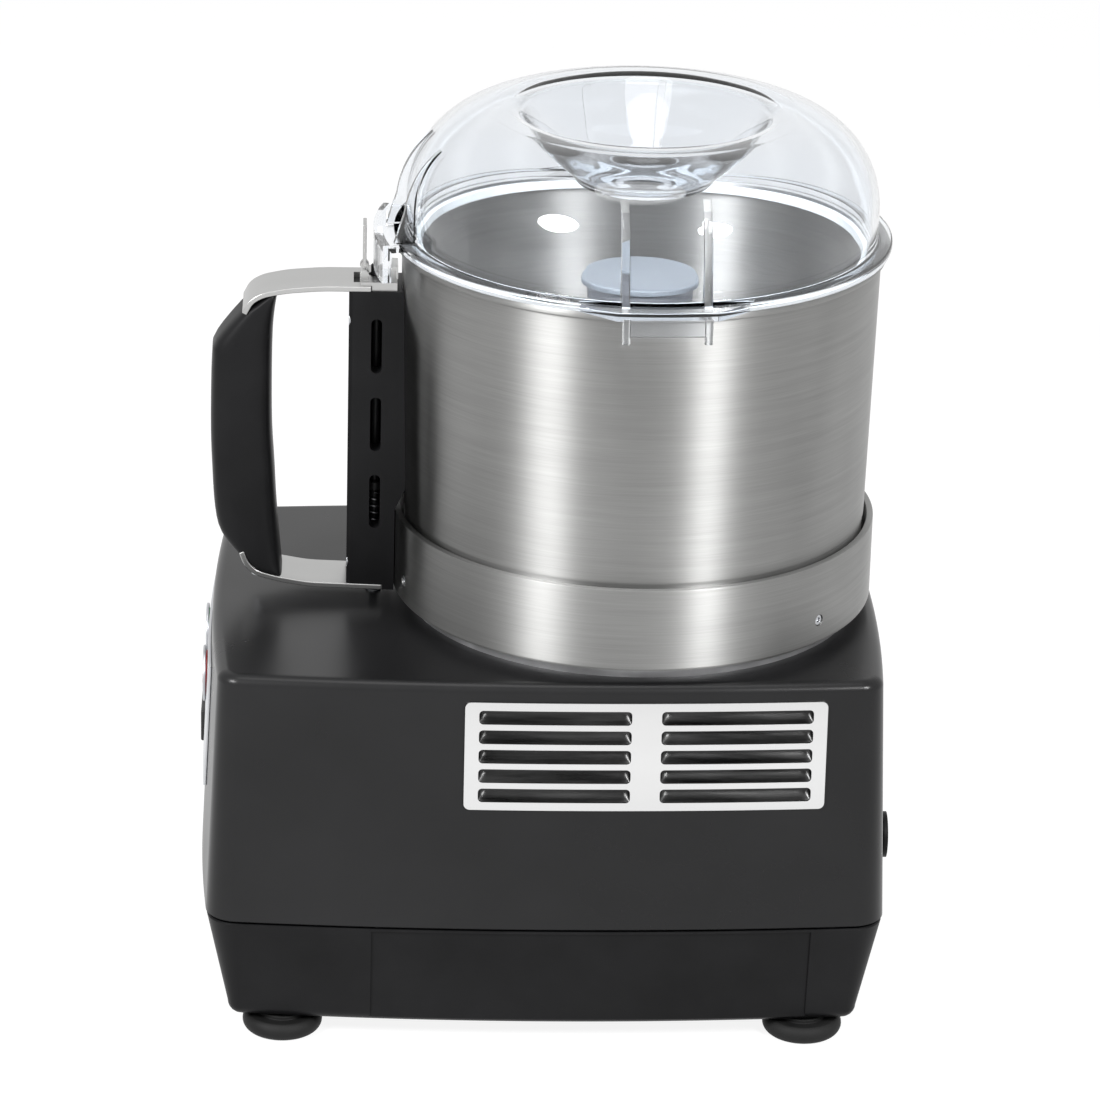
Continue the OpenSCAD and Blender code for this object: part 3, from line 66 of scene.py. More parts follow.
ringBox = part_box("bowl_ring")
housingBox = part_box("housing")
axisY = (ringBox[0][1] + ringBox[1][1]) / 2 / mm  # the bowl's axis, in mm
ringR = (ringBox[1][0] - ringBox[0][0]) / 2 / mm
ringLow, ringTop = ringBox[0][2] / mm, ringBox[1][2] / mm
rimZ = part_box("bowl")[1][2] / mm
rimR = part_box("bowl")[1][0] / mm
baseTop = housingBox[1][2] / mm
channelBox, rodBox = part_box("guide_channel"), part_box("push_rod")
channelLow, channelTop = channelBox[0][2] / mm, channelBox[1][2] / mm
channelOut = axisY - channelBox[0][1] / mm  # distances out from the bowl's axis
rodOut = axisY - (rodBox[0][1] + rodBox[1][1]) / 2 / mm
stage("frame loaded, %d nodes" % len(nodes))

# Camera, floor and lamps

cameraSetup = {
    "place": (1828.05, -79.77, 884.99),  # mm
    "elevation": 21.33,
    "azimuth": -2.56,
    "roll": 1.54,
    "lens": 163.636,
    "sensor": 36,
}


def addCamera(setup):
    up, turn = math.radians(setup["elevation"]), math.radians(setup["azimuth"])
    ahead = -Vector((math.cos(up) * math.cos(turn), math.cos(up) * math.sin(turn), math.sin(up)))
    right = ahead.cross(Vector((0, 0, 1))).normalized()
    top = right.cross(ahead)
    roll = math.radians(setup["roll"])
    across = math.cos(roll) * right + math.sin(roll) * top
    above = math.cos(roll) * top - math.sin(roll) * right
    data = bpy.data.cameras.new("camera")
    data.lens, data.sensor_width = setup["lens"], setup["sensor"]
    data.clip_start, data.clip_end = 0.05, 50
    camera = bpy.data.objects.new("camera", data)
    scene.collection.objects.link(camera)
    turned = Matrix((across, above, -ahead)).transposed().to_4x4()
    camera.matrix_world = Matrix.Translation(Vector(setup["place"]) * mm) @ turned
    scene.camera = camera


def worked(tree, operation, *values):
    made = tree.nodes.new("ShaderNodeMath")
    made.operation = operation
    for value, socket in zip(values, made.inputs):
        if isinstance(value, (int, float)):
            socket.default_value = value
        else:
            tree.links.new(value, socket)
    return made.outputs[0]


def seenRays(tree):
    path = tree.nodes.new("ShaderNodeLightPath")
    direct = worked(tree, "MAXIMUM", path.outputs["Is Camera Ray"], path.outputs["Is Glossy Ray"])
    return worked(tree, "MAXIMUM", direct, path.outputs["Is Transmission Ray"])


studio = {
    "fill": 0.4,  # how bright the room is to matt surfaces
    "floorSize": 12,
    "floorShade": 0.8,
    "floorGlow": 1.17,
    "shadowShare": 0.25,
    "aimHeight": 0.22,  # m above the floor
    "lamps": [(-44, 30, 1.5, 0.24, 21), (36, 30, 1.5, 0.2, 18), (-6, 78, 1.6, 0.4, 5)],
    # azimuth from the camera, elevation, distance, radius, watts
}


def addStudio(setup):
    world = bpy.data.worlds.new("room")
    scene.world = world
    world.use_nodes = True
    tree = world.node_tree
    back = tree.nodes["Background"]
    back.inputs["Color"].default_value = (1, 1, 1, 1)
    level = tree.nodes.new("ShaderNodeMapRange")
    level.inputs["To Min"].default_value = setup["fill"]
    level.inputs["To Max"].default_value = 1
    tree.links.new(seenRays(tree), level.inputs["Value"])
    tree.links.new(level.outputs[0], back.inputs["Strength"])

    half = setup["floorSize"] / 2
    mesh = bpy.data.meshes.new("floor")
    corners = [(-half, -half, 0), (half, -half, 0), (half, half, 0), (-half, half, 0)]
    mesh.from_pydata(corners, [], [(0, 1, 2, 3)])
    floor = bpy.data.objects.new("floor", mesh)
    scene.collection.objects.link(floor)
    paper = bpy.data.materials.new("paleFloor")
    paper.use_nodes = True
    tree = paper.node_tree
    tree.nodes.clear()
    out = tree.nodes.new("ShaderNodeOutputMaterial")
    matt = tree.nodes.new("ShaderNodeBsdfDiffuse")
    matt.inputs["Color"].default_value = (setup["floorShade"],) * 3 + (1,)
    glow = tree.nodes.new("ShaderNodeEmission")
    glow.inputs["Strength"].default_value = setup["floorGlow"]
    mix = tree.nodes.new("ShaderNodeMixShader")
    tree.links.new(worked(tree, "MULTIPLY", seenRays(tree), 1 - setup["shadowShare"]), mix.inputs[0])
    tree.links.new(matt.outputs[0], mix.inputs[1])
    tree.links.new(glow.outputs[0], mix.inputs[2])
    tree.links.new(mix.outputs[0], out.inputs["Surface"])
    mesh.materials.append(paper)

    aim = Vector((0, axisY * mm, setup["aimHeight"]))
    for number, (azimuth, elevation, distance, radius, power) in enumerate(setup["lamps"]):
        turn = math.radians(cameraSetup["azimuth"] + azimuth)
        rise = math.radians(elevation)
        away = Vector((math.cos(rise) * math.cos(turn), math.cos(rise) * math.sin(turn), math.sin(rise)))
        data = bpy.data.lights.new("softbox%d" % number, "AREA")
        data.shape = "DISK"
        data.size = radius * 2
        data.energy = power
        lamp = bpy.data.objects.new("softbox%d" % number, data)
        scene.collection.objects.link(lamp)
        facing = away.to_track_quat("Z", "Y").to_matrix().to_4x4()
        lamp.matrix_world = Matrix.Translation(aim + away * distance) @ facing


scene.view_settings.view_transform = "Standard"
addCamera(cameraSetup)
addStudio(studio)
stage("camera and studio set")

# Finishes: each has a grain in its colour, its gloss and its relief

finishes = {
    "black_paint": {"colour": (0.008, 0.008, 0.0085), "rough": 0.3, "specular": 0.25, "grain": 900,
                    "relief": 0.02, "blotch": 14, "vary": 0.25},
    "black_plastic": {"colour": (0.006, 0.006, 0.0065), "rough": 0.42, "specular": 0.13, "grain": 1500,
                      "relief": 0.05, "blotch": 30, "vary": 0.3},
    "foot_rubber": {"colour": (0.008, 0.008, 0.008), "rough": 0.62, "specular": 0.2, "grain": 800,
                    "relief": 0.08, "blotch": 60, "vary": 0.4},
    "zinc_steel": {"colour": (0.5, 0.51, 0.53), "rough": 0.32, "metal": 1, "grain": 700, "relief": 0.02,
                   "blotch": 90, "vary": 0.15},
    "bright_steel": {"colour": (0.66, 0.66, 0.66), "rough": 0.24, "metal": 1, "grain": 400, "relief": 0.008,
                     "blotch": 22, "vary": 0.06, "streak": (1, 0.06, 1)},
    "panel_steel": {"colour": (0.6, 0.61, 0.63), "rough": 0.34, "metal": 1, "grain": 900, "relief": 0.015,
                    "blotch": 30, "vary": 0.1, "streak": (0.04, 1, 1)},
    "green_plastic": {"colour": (0.03, 0.3, 0.09), "rough": 0.3, "specular": 0.5, "grain": 900,
                      "relief": 0.02, "blotch": 80, "vary": 0.12},
    "red_plastic": {"colour": (0.5, 0.025, 0.025), "rough": 0.3, "specular": 0.5, "grain": 900,
                    "relief": 0.02, "blotch": 80, "vary": 0.12},
    "board": {"colour": (0.04, 0.18, 0.08), "rough": 0.5, "grain": 500, "relief": 0.03, "blotch": 120,
              "vary": 0.2},
    "dark_plastic": {"colour": (0.014, 0.014, 0.015), "rough": 0.42, "specular": 0.3, "grain": 1200,
                     "relief": 0.05, "blotch": 60, "vary": 0.25},
    "can_metal": {"colour": (0.66, 0.67, 0.68), "rough": 0.35, "metal": 1, "grain": 500, "relief": 0.02,
                  "blotch": 60, "vary": 0.08},
    "cast_metal": {"colour": (0.42, 0.42, 0.43), "rough": 0.5, "metal": 1, "grain": 420, "relief": 0.12,
                   "blotch": 60, "vary": 0.2},
    "winding": {"colour": (0.3, 0.13, 0.05), "rough": 0.36, "grain": 700, "relief": 0.2, "blotch": 200,
                "vary": 0.3},
    "lamination": {"colour": (0.2, 0.2, 0.21), "rough": 0.5, "metal": 1, "grain": 900, "relief": 0.15,
                   "blotch": 90, "vary": 0.2, "streak": (0.05, 0.05, 1)},
    "hub_plastic": {"colour": (0.14, 0.15, 0.17), "rough": 0.4, "grain": 1100, "relief": 0.03, "blotch": 60,
                    "vary": 0.12},
    "cap_plastic": {"colour": (0.17, 0.195, 0.225), "rough": 0.36, "grain": 1100, "relief": 0.02,
                    "blotch": 40, "vary": 0.06},
    "blade_steel": {"colour": (0.66, 0.67, 0.68), "rough": 0.26, "metal": 1, "grain": 900, "relief": 0.02,
                    "blotch": 40, "vary": 0.1, "streak": (1, 0.05, 1)},
    "seal_rubber": {"colour": (0.56, 0.6, 0.63), "rough": 0.45, "grain": 900, "relief": 0.03, "blotch": 60,
                    "vary": 0.08},
    "spring_steel": {"colour": (0.34, 0.34, 0.36), "rough": 0.35, "metal": 1, "grain": 900, "relief": 0.02,
                     "blotch": 90, "vary": 0.15},
    "strap_steel": {"colour": (0.42, 0.42, 0.415), "rough": 0.3, "metal": 1, "grain": 900, "relief": 0.02,
                    "blotch": 30, "vary": 0.1, "streak": (1, 0.04, 1)},
    # near-black colour is painted shade for the slots behind the louvres; the flaps are really the grille's
    # bright steel, and the streaky tone varies at random
    "painted_shade_flap_steel": {"colour": (0.05, 0.05, 0.05), "rough": 0.3, "metal": 1, "grain": 400, "relief": 0.02,
                   "blotch": 300, "vary": 0.6, "streak": (1, 0.08, 1)},
    "mark_white": {"colour": (0.75, 0.75, 0.74), "rough": 0.45, "grain": 900, "relief": 0.02, "blotch": 60,
                   "vary": 0.05},
}
brushing = {
    "colour": (0.3, 0.3, 0.295),
    "rough": 0.46,
    "lines": 3200,  # brush lines per metre of height
    "arc": 1.4,  # how short the lines are round the bowl
    "scratchShort": 3,  # scratches are this many times shorter than bands
    "bandWide": 7,  # and bands this many times wider
    "cloud": 9,
    "cloudArc": 1.5,
    "relief": 0.05,
    "vary": 0.1,
    "glossShares": (0.9, 1.15),
    "spread": 0.96,
    "grainTurn": 0.25,
}
clear = {"colour": (0.9, 0.92, 0.945), "rough": 0.02, "ior": 1.49, "ripple": 18, "relief": 0.004,
         "vary": 0.01, "glossShares": (0.5, 1.5)}
grain = {"low": 0.3, "high": 0.7, "deep": 0.4, "glossShares": (0.88, 1.12)}  # noise is mostly in low to high


def newMaterial(name):
    material = bpy.data.materials.new(name)
    material.use_nodes = True
    return material, material.node_tree, material.node_tree.nodes["Principled BSDF"]


def noise(tree, vector, scale, detail=4):
    made = tree.nodes.new("ShaderNodeTexNoise")
    made.inputs["Scale"].default_value = scale
    made.inputs["Detail"].default_value = detail
    tree.links.new(vector, made.inputs["Vector"])
    return made.outputs["Fac"]


def spreadOver(tree, value, low, high):
    made = tree.nodes.new("ShaderNodeMapRange")
    made.inputs["From Min"].default_value = grain["low"]
    made.inputs["From Max"].default_value = grain["high"]
    made.inputs["To Min"].default_value = low
    made.inputs["To Max"].default_value = high
    tree.links.new(value, made.inputs["Value"])
    return made.outputs[0]


def gloss(tree, value, look, shares, shader):
    low, high = [look["rough"] * share for share in shares]
    tree.links.new(spreadOver(tree, value, low, high), shader.inputs["Roughness"])


def tinted(tree, value, colour, vary):
    made = tree.nodes.new("ShaderNodeMix")
    made.data_type = "RGBA"
    made.inputs["A"].default_value = tuple(c * (1 - vary) for c in colour) + (1,)
    made.inputs["B"].default_value = tuple(min(1, c * (1 + vary)) for c in colour) + (1,)
    tree.links.new(spreadOver(tree, value, 0, 1), made.inputs["Factor"])
    return made.outputs["Result"]


def raised(tree, value, strength, shader):
    made = tree.nodes.new("ShaderNodeBump")
    made.inputs["Strength"].default_value = strength
    made.inputs["Distance"].default_value = grain["deep"] * mm
    tree.links.new(value, made.inputs["Height"])
    tree.links.new(made.outputs[0], shader.inputs["Normal"])


def plainFinish(name, look):
    material, tree, shader = newMaterial(name)
    place = tree.nodes.new("ShaderNodeTexCoord").outputs["Object"]
    mapping = tree.nodes.new("ShaderNodeMapping")
    mapping.inputs["Scale"].default_value = look.get("streak", (1, 1, 1))
    tree.links.new(place, mapping.inputs["Vector"])
    fine = noise(tree, mapping.outputs[0], look["grain"])
    broad = noise(tree, mapping.outputs[0], look["blotch"])
    tree.links.new(tinted(tree, broad, look["colour"], look["vary"]), shader.inputs["Base Color"])
    gloss(tree, broad, look, grain["glossShares"], shader)
    raised(tree, fine, look["relief"], shader)
    shader.inputs["Metallic"].default_value = look.get("metal", 0)
    shader.inputs["Specular IOR Level"].default_value = look.get("specular", 0.5)
    return material


def brushedRound(name, look):
    material, tree, shader = newMaterial(name)
    place = tree.nodes.new("ShaderNodeTexCoord").outputs["Object"]
    centred = tree.nodes.new("ShaderNodeMapping")
    centred.inputs["Location"].default_value = (0, -axisY * mm, 0)
    tree.links.new(place, centred.inputs["Vector"])
    parts = tree.nodes.new("ShaderNodeSeparateXYZ")
    tree.links.new(centred.outputs[0], parts.inputs[0])
    angle = worked(tree, "ARCTAN2", parts.outputs["X"], parts.outputs["Y"])  # its seam is behind the channel
    flat = tree.nodes.new("ShaderNodeVectorMath")
    flat.operation = "MULTIPLY"
    flat.inputs[1].default_value = (1, 1, 0)
    tree.links.new(centred.outputs[0], flat.inputs[0])
    radius = tree.nodes.new("ShaderNodeVectorMath")
    radius.operation = "LENGTH"
    tree.links.new(flat.outputs[0], radius.inputs[0])

    def lines(along, across):
        joined = tree.nodes.new("ShaderNodeCombineXYZ")
        scaled = ((angle, along), (radius.outputs["Value"], across), (parts.outputs["Z"], across))
        for (value, factor), socket in zip(scaled, joined.inputs):
            tree.links.new(worked(tree, "MULTIPLY", value, factor), socket)
        return joined.outputs[0]

    scratches = noise(tree, lines(look["arc"] * look["scratchShort"], look["lines"]), 1, 3)
    bands = noise(tree, lines(look["arc"], look["lines"] / look["bandWide"]), 1, 5)
    cloud = noise(tree, lines(look["arc"] * look["cloudArc"], look["cloud"]), 1, 2)
    brushed = worked(tree, "MULTIPLY", worked(tree, "ADD", bands, scratches), 0.5)
    tree.links.new(tinted(tree, brushed, look["colour"], look["vary"]), shader.inputs["Base Color"])
    gloss(tree, cloud, look, look["glossShares"], shader)
    raised(tree, brushed, look["relief"], shader)
    shader.inputs["Metallic"].default_value = 1
    shader.inputs["Anisotropic"].default_value = look["spread"]
    shader.inputs["Anisotropic Rotation"].default_value = look["grainTurn"]
    grainWay = tree.nodes.new("ShaderNodeTangent")
    grainWay.direction_type = "RADIAL"
    grainWay.axis = "Z"
    tree.links.new(grainWay.outputs[0], shader.inputs["Tangent"])
    return material


def clearPlastic(name, look):
    material, tree, shader = newMaterial(name)
    place = tree.nodes.new("ShaderNodeTexCoord").outputs["Object"]
    wave = noise(tree, place, look["ripple"], 2)
    tree.links.new(tinted(tree, wave, look["colour"], look["vary"]), shader.inputs["Base Color"])
    gloss(tree, wave, look, look["glossShares"], shader)
    raised(tree, wave, look["relief"], shader)
    shader.inputs["Transmission Weight"].default_value = 1
    shader.inputs["IOR"].default_value = look["ior"]
    return material


skins = {name: plainFinish(name, look) for name, look in finishes.items()}
skins["brushed_steel"] = brushedRound("brushed_steel", brushing)
skins["clear_plastic"] = clearPlastic("clear_plastic", clear)
for part in frame["record"]["subparts"]:
    for materialSlot in nodes[part["node"]].material_slots:
        materialSlot.material = skins[part["material_slot"]]
stage("finishes made")


# Mesh helpers, all in mm until toMesh

mesher = {"sameSpot": 0.001, "cadSameSpot": 0.002, "cadFlat": 0.4, "cornerShare": 0.45}


def toMesh(name, bm, smooth=38):
    bmesh.ops.remove_doubles(bm, verts=bm.verts, dist=mesher["sameSpot"])
    bmesh.ops.recalc_face_normals(bm, faces=bm.faces)
    bm.transform(Matrix.Scale(mm, 4))
    mesh = bpy.data.meshes.new(name)
    bm.to_mesh(mesh)
    bm.free()
    obj = bpy.data.objects.new(name, mesh)
    scene.collection.objects.link(obj)
    shade(obj, smooth)
    return obj


def shade(obj, smooth):
    obj.data.polygons.foreach_set("use_smooth", [True] * len(obj.data.polygons))
    obj.data.set_sharp_from_angle(angle=math.radians(smooth))


def applied(obj):
    live = obj.evaluated_get(bpy.context.evaluated_depsgraph_get())
    mesh = bpy.data.meshes.new_from_object(live)
    obj.modifiers.clear()
    obj.data = mesh
    return obj


def settle(obj, smooth=38):
    shade(applied(obj), smooth)
    return obj


def weigh(obj):
    obj.modifiers.new("weighted", "WEIGHTED_NORMAL").keep_sharp = True
    return applied(obj)


def bevelled(obj, width, segments, smooth=30, clamp=False):
    bevel = obj.modifiers.new("edges", "BEVEL")
    bevel.width = width * mm
    bevel.segments = segments
    bevel.limit_method = "ANGLE"
    bevel.angle_limit = math.radians(smooth)
    bevel.use_clamp_overlap = clamp


def dress(obj, slotName, body, *replaced, skin=None):
    obj.data.materials.clear()
    obj.data.materials.append(skins[skin or slotName])
    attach(obj, body)
    if replaced:
        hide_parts(*replaced)
    return obj


def cut(obj, cutters, operation="DIFFERENCE", smooth=38):
    for cutter in cutters:
        change = obj.modifiers.new("cut", "BOOLEAN")
        change.operation = operation
        change.solver = "EXACT"
        change.object = cutter
    settle(obj, smooth)
    for cutter in cutters:
        bpy.data.objects.remove(cutter)
    return obj


def arc(x, z, radius, start, end, steps):
    turns = [math.radians(start + (end - start) * k / steps) for k in range(steps + 1)]
    return [(x + radius * math.cos(t), z + radius * math.sin(t)) for t in turns]


def softened(points, radius, steps=5, closed=True):
    made = []
    for i, point in enumerate(points):
        if not closed and i in (0, len(points) - 1):
            made.append(point)
            continue
        here, before, after = Vector(point), Vector(points[i - 1]), Vector(points[(i + 1) % len(points)])
        most = mesher["cornerShare"] * min((before - here).length, (after - here).length)
        reach = min(radius, most)
        a = here + (before - here).normalized() * reach
        b = here + (after - here).normalized() * reach
        for k in range(steps + 1):
            t = k / steps
            made.append(tuple(a * (1 - t) ** 2 + here * 2 * t * (1 - t) + b * t ** 2))
    return made


def throughPoints(points, steps):
    made = []
    padded = [points[0]] + points + [points[-1]]
    for a, b, c, d in zip(padded, padded[1:], padded[2:], padded[3:]):
        for k in range(steps):
            t = k / steps
            made.append(tuple(0.5 * (2 * q + (r - p) * t + (2 * p - 5 * q + 4 * r - s) * t ** 2
                                     + (3 * q - p - 3 * r + s) * t ** 3) for p, q, r, s in zip(a, b, c, d)))
    return made + [points[-1]]


def turned(name, profile, steps=192, centre=None, smooth=38):
    bm = bmesh.new()
    x, y = centre or (0, axisY)
    rings = []
    for k in range(steps):
        c, s = math.cos(2 * math.pi * k / steps), math.sin(2 * math.pi * k / steps)
        rings.append([bm.verts.new((x + r * c, y + r * s, z)) for r, z in profile])
    for k in range(steps):
        a, b = rings[k], rings[(k + 1) % steps]
        for i in range(len(profile)):
            j = (i + 1) % len(profile)
            bm.faces.new((a[i], b[i], b[j], a[j]))
    return toMesh(name, bm, smooth)


def extruded(name, outline, width, place, smooth=38):
    bm = bmesh.new()
    sides = [[bm.verts.new(place(p, side * width / 2)) for p in outline] for side in (-1, 1)]
    bm.faces.new(sides[0])
    bm.faces.new(sides[1])
    for i in range(len(outline)):
        j = (i + 1) % len(outline)
        bm.faces.new((sides[0][i], sides[0][j], sides[1][j], sides[1][i]))
    return toMesh(name, bm, smooth)


def inHandle(point, across):
    return (across, axisY - point[0], point[1])


def block(name, low, high):
    bm = bmesh.new()
    bmesh.ops.create_cube(bm, size=1)
    for v in bm.verts:
        v.co = Vector([lo + (hi - lo) * (c + 0.5) for lo, hi, c in zip(low, high, v.co)])
    return toMesh(name, bm)


def rod(name, radius, start, end, steps=48):
    way = Vector(end) - Vector(start)
    bm = bmesh.new()
    bmesh.ops.create_cone(bm, cap_ends=True, segments=steps, radius1=radius, radius2=radius, depth=way.length)
    middle = (Vector(start) + Vector(end)) / 2
    bm.transform(Matrix.Translation(middle) @ way.to_track_quat("Z", "Y").to_matrix().to_4x4())
    return toMesh(name, bm)


def refined(name, node, slotName, body, edge, smooth=35, skin=None):
    bm = bmesh.new()
    bm.from_mesh(nodes[node].data)
    bmesh.ops.remove_doubles(bm, verts=bm.verts, dist=mesher["cadSameSpot"] * mm)
    flat = math.radians(mesher["cadFlat"])
    bmesh.ops.dissolve_limit(bm, angle_limit=flat, verts=bm.verts, edges=bm.edges)
    mesh = bpy.data.meshes.new(name)
    bm.to_mesh(mesh)
    bm.free()
    obj = bpy.data.objects.new(name, mesh)
    scene.collection.objects.link(obj)
    shade(obj, smooth)
    bevelled(obj, edge, 2, smooth, True)
    settle(obj, smooth)
    return dress(weigh(obj), slotName, body, node, skin=skin)


# Geometry Nodes: one tree sets copies of a piece on points, one winds a wire

def newTree(name, inputs):
    tree = bpy.data.node_groups.new(name, "GeometryNodeTree")
    tree.interface.new_socket("Geometry", in_out="OUTPUT", socket_type="NodeSocketGeometry")
    sockets = {}
    for label, kind in {"Geometry": "Geometry", **inputs}.items():
        sockets[label] = tree.interface.new_socket(label, in_out="INPUT", socket_type="NodeSocket" + kind)
    return tree, sockets, tree.nodes.new("NodeGroupInput"), tree.nodes.new("NodeGroupOutput")


def runTree(obj, tree, sockets, values):
    change = obj.modifiers.new("nodes", "NODES")
    change.node_group = tree
    for label, value in values.items():
        change[sockets[label].identifier] = value
    return settle(obj)


def copiesTree():
    inputs = {"Piece": "Object", "Size": "Float", "Finish": "Material"}
    tree, sockets, given, out = newTree("copiesOnPoints", inputs)
    info = tree.nodes.new("GeometryNodeObjectInfo")
    turn = tree.nodes.new("GeometryNodeInputNamedAttribute")
    turn.data_type = "FLOAT_VECTOR"
    turn.inputs["Name"].default_value = "turn"
    place = tree.nodes.new("GeometryNodeInstanceOnPoints")
    real = tree.nodes.new("GeometryNodeRealizeInstances")
    paint = tree.nodes.new("GeometryNodeSetMaterial")
    tree.links.new(given.outputs["Piece"], info.inputs["Object"])
    tree.links.new(given.outputs["Geometry"], place.inputs["Points"])
    tree.links.new(info.outputs["Geometry"], place.inputs["Instance"])
    tree.links.new(turn.outputs[0], place.inputs["Rotation"])
    tree.links.new(given.outputs["Size"], place.inputs["Scale"])
    tree.links.new(place.outputs[0], real.inputs[0])
    tree.links.new(real.outputs[0], paint.inputs["Geometry"])
    tree.links.new(given.outputs["Finish"], paint.inputs["Material"])
    tree.links.new(paint.outputs[0], out.inputs[0])
    return tree, sockets


def coilTree():
    inputs = {label: "Float" for label in ("Turns", "Coil Radius", "Height", "Wire Radius")}
    tree, sockets, given, out = newTree("woundWire", {**inputs, "Finish": "Material"})
    coil = tree.nodes.new("GeometryNodeCurveSpiral")
    coil.inputs["Resolution"].default_value = 24
    ring = tree.nodes.new("GeometryNodeCurvePrimitiveCircle")
    ring.inputs["Resolution"].default_value = 10
    sweep = tree.nodes.new("GeometryNodeCurveToMesh")
    sweep.inputs["Fill Caps"].default_value = True
    real = tree.nodes.new("GeometryNodeRealizeInstances")
    paint = tree.nodes.new("GeometryNodeSetMaterial")
    tree.links.new(given.outputs["Turns"], coil.inputs["Rotations"])
    tree.links.new(given.outputs["Coil Radius"], coil.inputs["Start Radius"])
    tree.links.new(given.outputs["Coil Radius"], coil.inputs["End Radius"])
    tree.links.new(given.outputs["Height"], coil.inputs["Height"])
    tree.links.new(given.outputs["Wire Radius"], ring.inputs["Radius"])
    tree.links.new(coil.outputs[0], sweep.inputs["Curve"])
    tree.links.new(ring.outputs[0], sweep.inputs["Profile Curve"])
    tree.links.new(sweep.outputs[0], real.inputs[0])
    tree.links.new(real.outputs[0], paint.inputs["Geometry"])
    tree.links.new(given.outputs["Finish"], paint.inputs["Material"])
    tree.links.new(paint.outputs[0], out.inputs[0])
    return tree, sockets


copies = copiesTree()


def copied(name, piece, spots, slotName):
    mesh = bpy.data.meshes.new(name)
    mesh.from_pydata([Vector(spot[0]) * mm for spot in spots], [], [])
    turns = mesh.attributes.new("turn", "FLOAT_VECTOR", "POINT")
    for k, spot in enumerate(spots):
        turns.data[k].vector = spot[1]
    obj = bpy.data.objects.new(name, mesh)
    scene.collection.objects.link(obj)
    runTree(obj, *copies, {"Piece": piece, "Size": 1.0, "Finish": skins[slotName]})
    bpy.data.objects.remove(piece)
    return obj


# Motor base

base = {
    "bow": 6.5,
    "corner": 9,
    "draft": 4,
    "seam": 53,
    "seamGap": 1,
    "edge": 4,
    "edgeSteps": 8,
    "wall": 3,
    "sideSteps": 24,
    "cornerSteps": 10,
}
base["endBow"] = base["bow"] * 0.75
base["halfWide"] = housingBox[1][0] / mm - base["draft"]
base["halfLong"] = housingBox[1][1] / mm - base["draft"]


def cornerCentre(w, l, b, e, r):
    x, y = w - b - r, l - e - r
    for _ in range(8):
        a, c = math.atan(2 * b * y / l ** 2), math.atan(2 * e * x / w ** 2)
        ye, xe = y + r * math.sin(a), x + r * math.sin(c)
        x, y = w - b * ye ** 2 / l ** 2 - r * math.cos(a), l - e * xe ** 2 / w ** 2 - r * math.cos(c)
    return x, y, a, c, ye, xe


def baseOutline(grown):
    w, l = base["halfWide"] + grown, base["halfLong"] + grown
    b, e, r = base["bow"], base["endBow"], max(base["corner"] + grown, 3)
    x, y, a, c, ye, xe = cornerCentre(w, l, b, e, r)
    n, m = base["sideSteps"], base["cornerSteps"]
    quarter = [(w - b * (ye * i / n) ** 2 / l ** 2, ye * i / n) for i in range(n)]
    for i in range(m + 1):
        t = a + (math.pi / 2 - c - a) * i / m
        quarter.append((x + r * math.cos(t), y + r * math.sin(t)))
    for i in range(1, n):
        q = xe * (n - i) / n
        quarter.append((q, l - e * q ** 2 / w ** 2))
    mirrored = [(-px, py) for px, py in reversed(quarter[1:])]
    lower = [(-px, -py) for px, py in quarter[1:]]
    last = [(px, -py) for px, py in reversed(quarter[1:])]
    return quarter + [(0, l)] + mirrored + [(-w, 0)] + lower + [(0, -l)] + last


def grownAt(z):
    edgeZ = baseTop - base["edge"]
    return base["draft"] * (edgeZ - z) / (edgeZ - base["seam"])


def stacked(name, levels, smooth=38):
    bm = bmesh.new()
    rings = []
    for z, grown in levels:
        rings.append([bm.verts.new((x, y, z)) for x, y in baseOutline(grown)])
    count = len(rings[0])
    for low, high in zip(rings, rings[1:]):
        for i in range(count):
            j = (i + 1) % count
            bm.faces.new((low[i], low[j], high[j], high[i]))
    bm.faces.new(rings[0])
    bm.faces.new(rings[-1])
    return toMesh(name, bm, smooth)


holes = {"spigot": 58.05, "pin": 3.3, "key": 9.3, "gland": 6.1, "pulseGap": 0.3, "grilleLap": (5, 3),
         "inside": 18, "outside": 16}


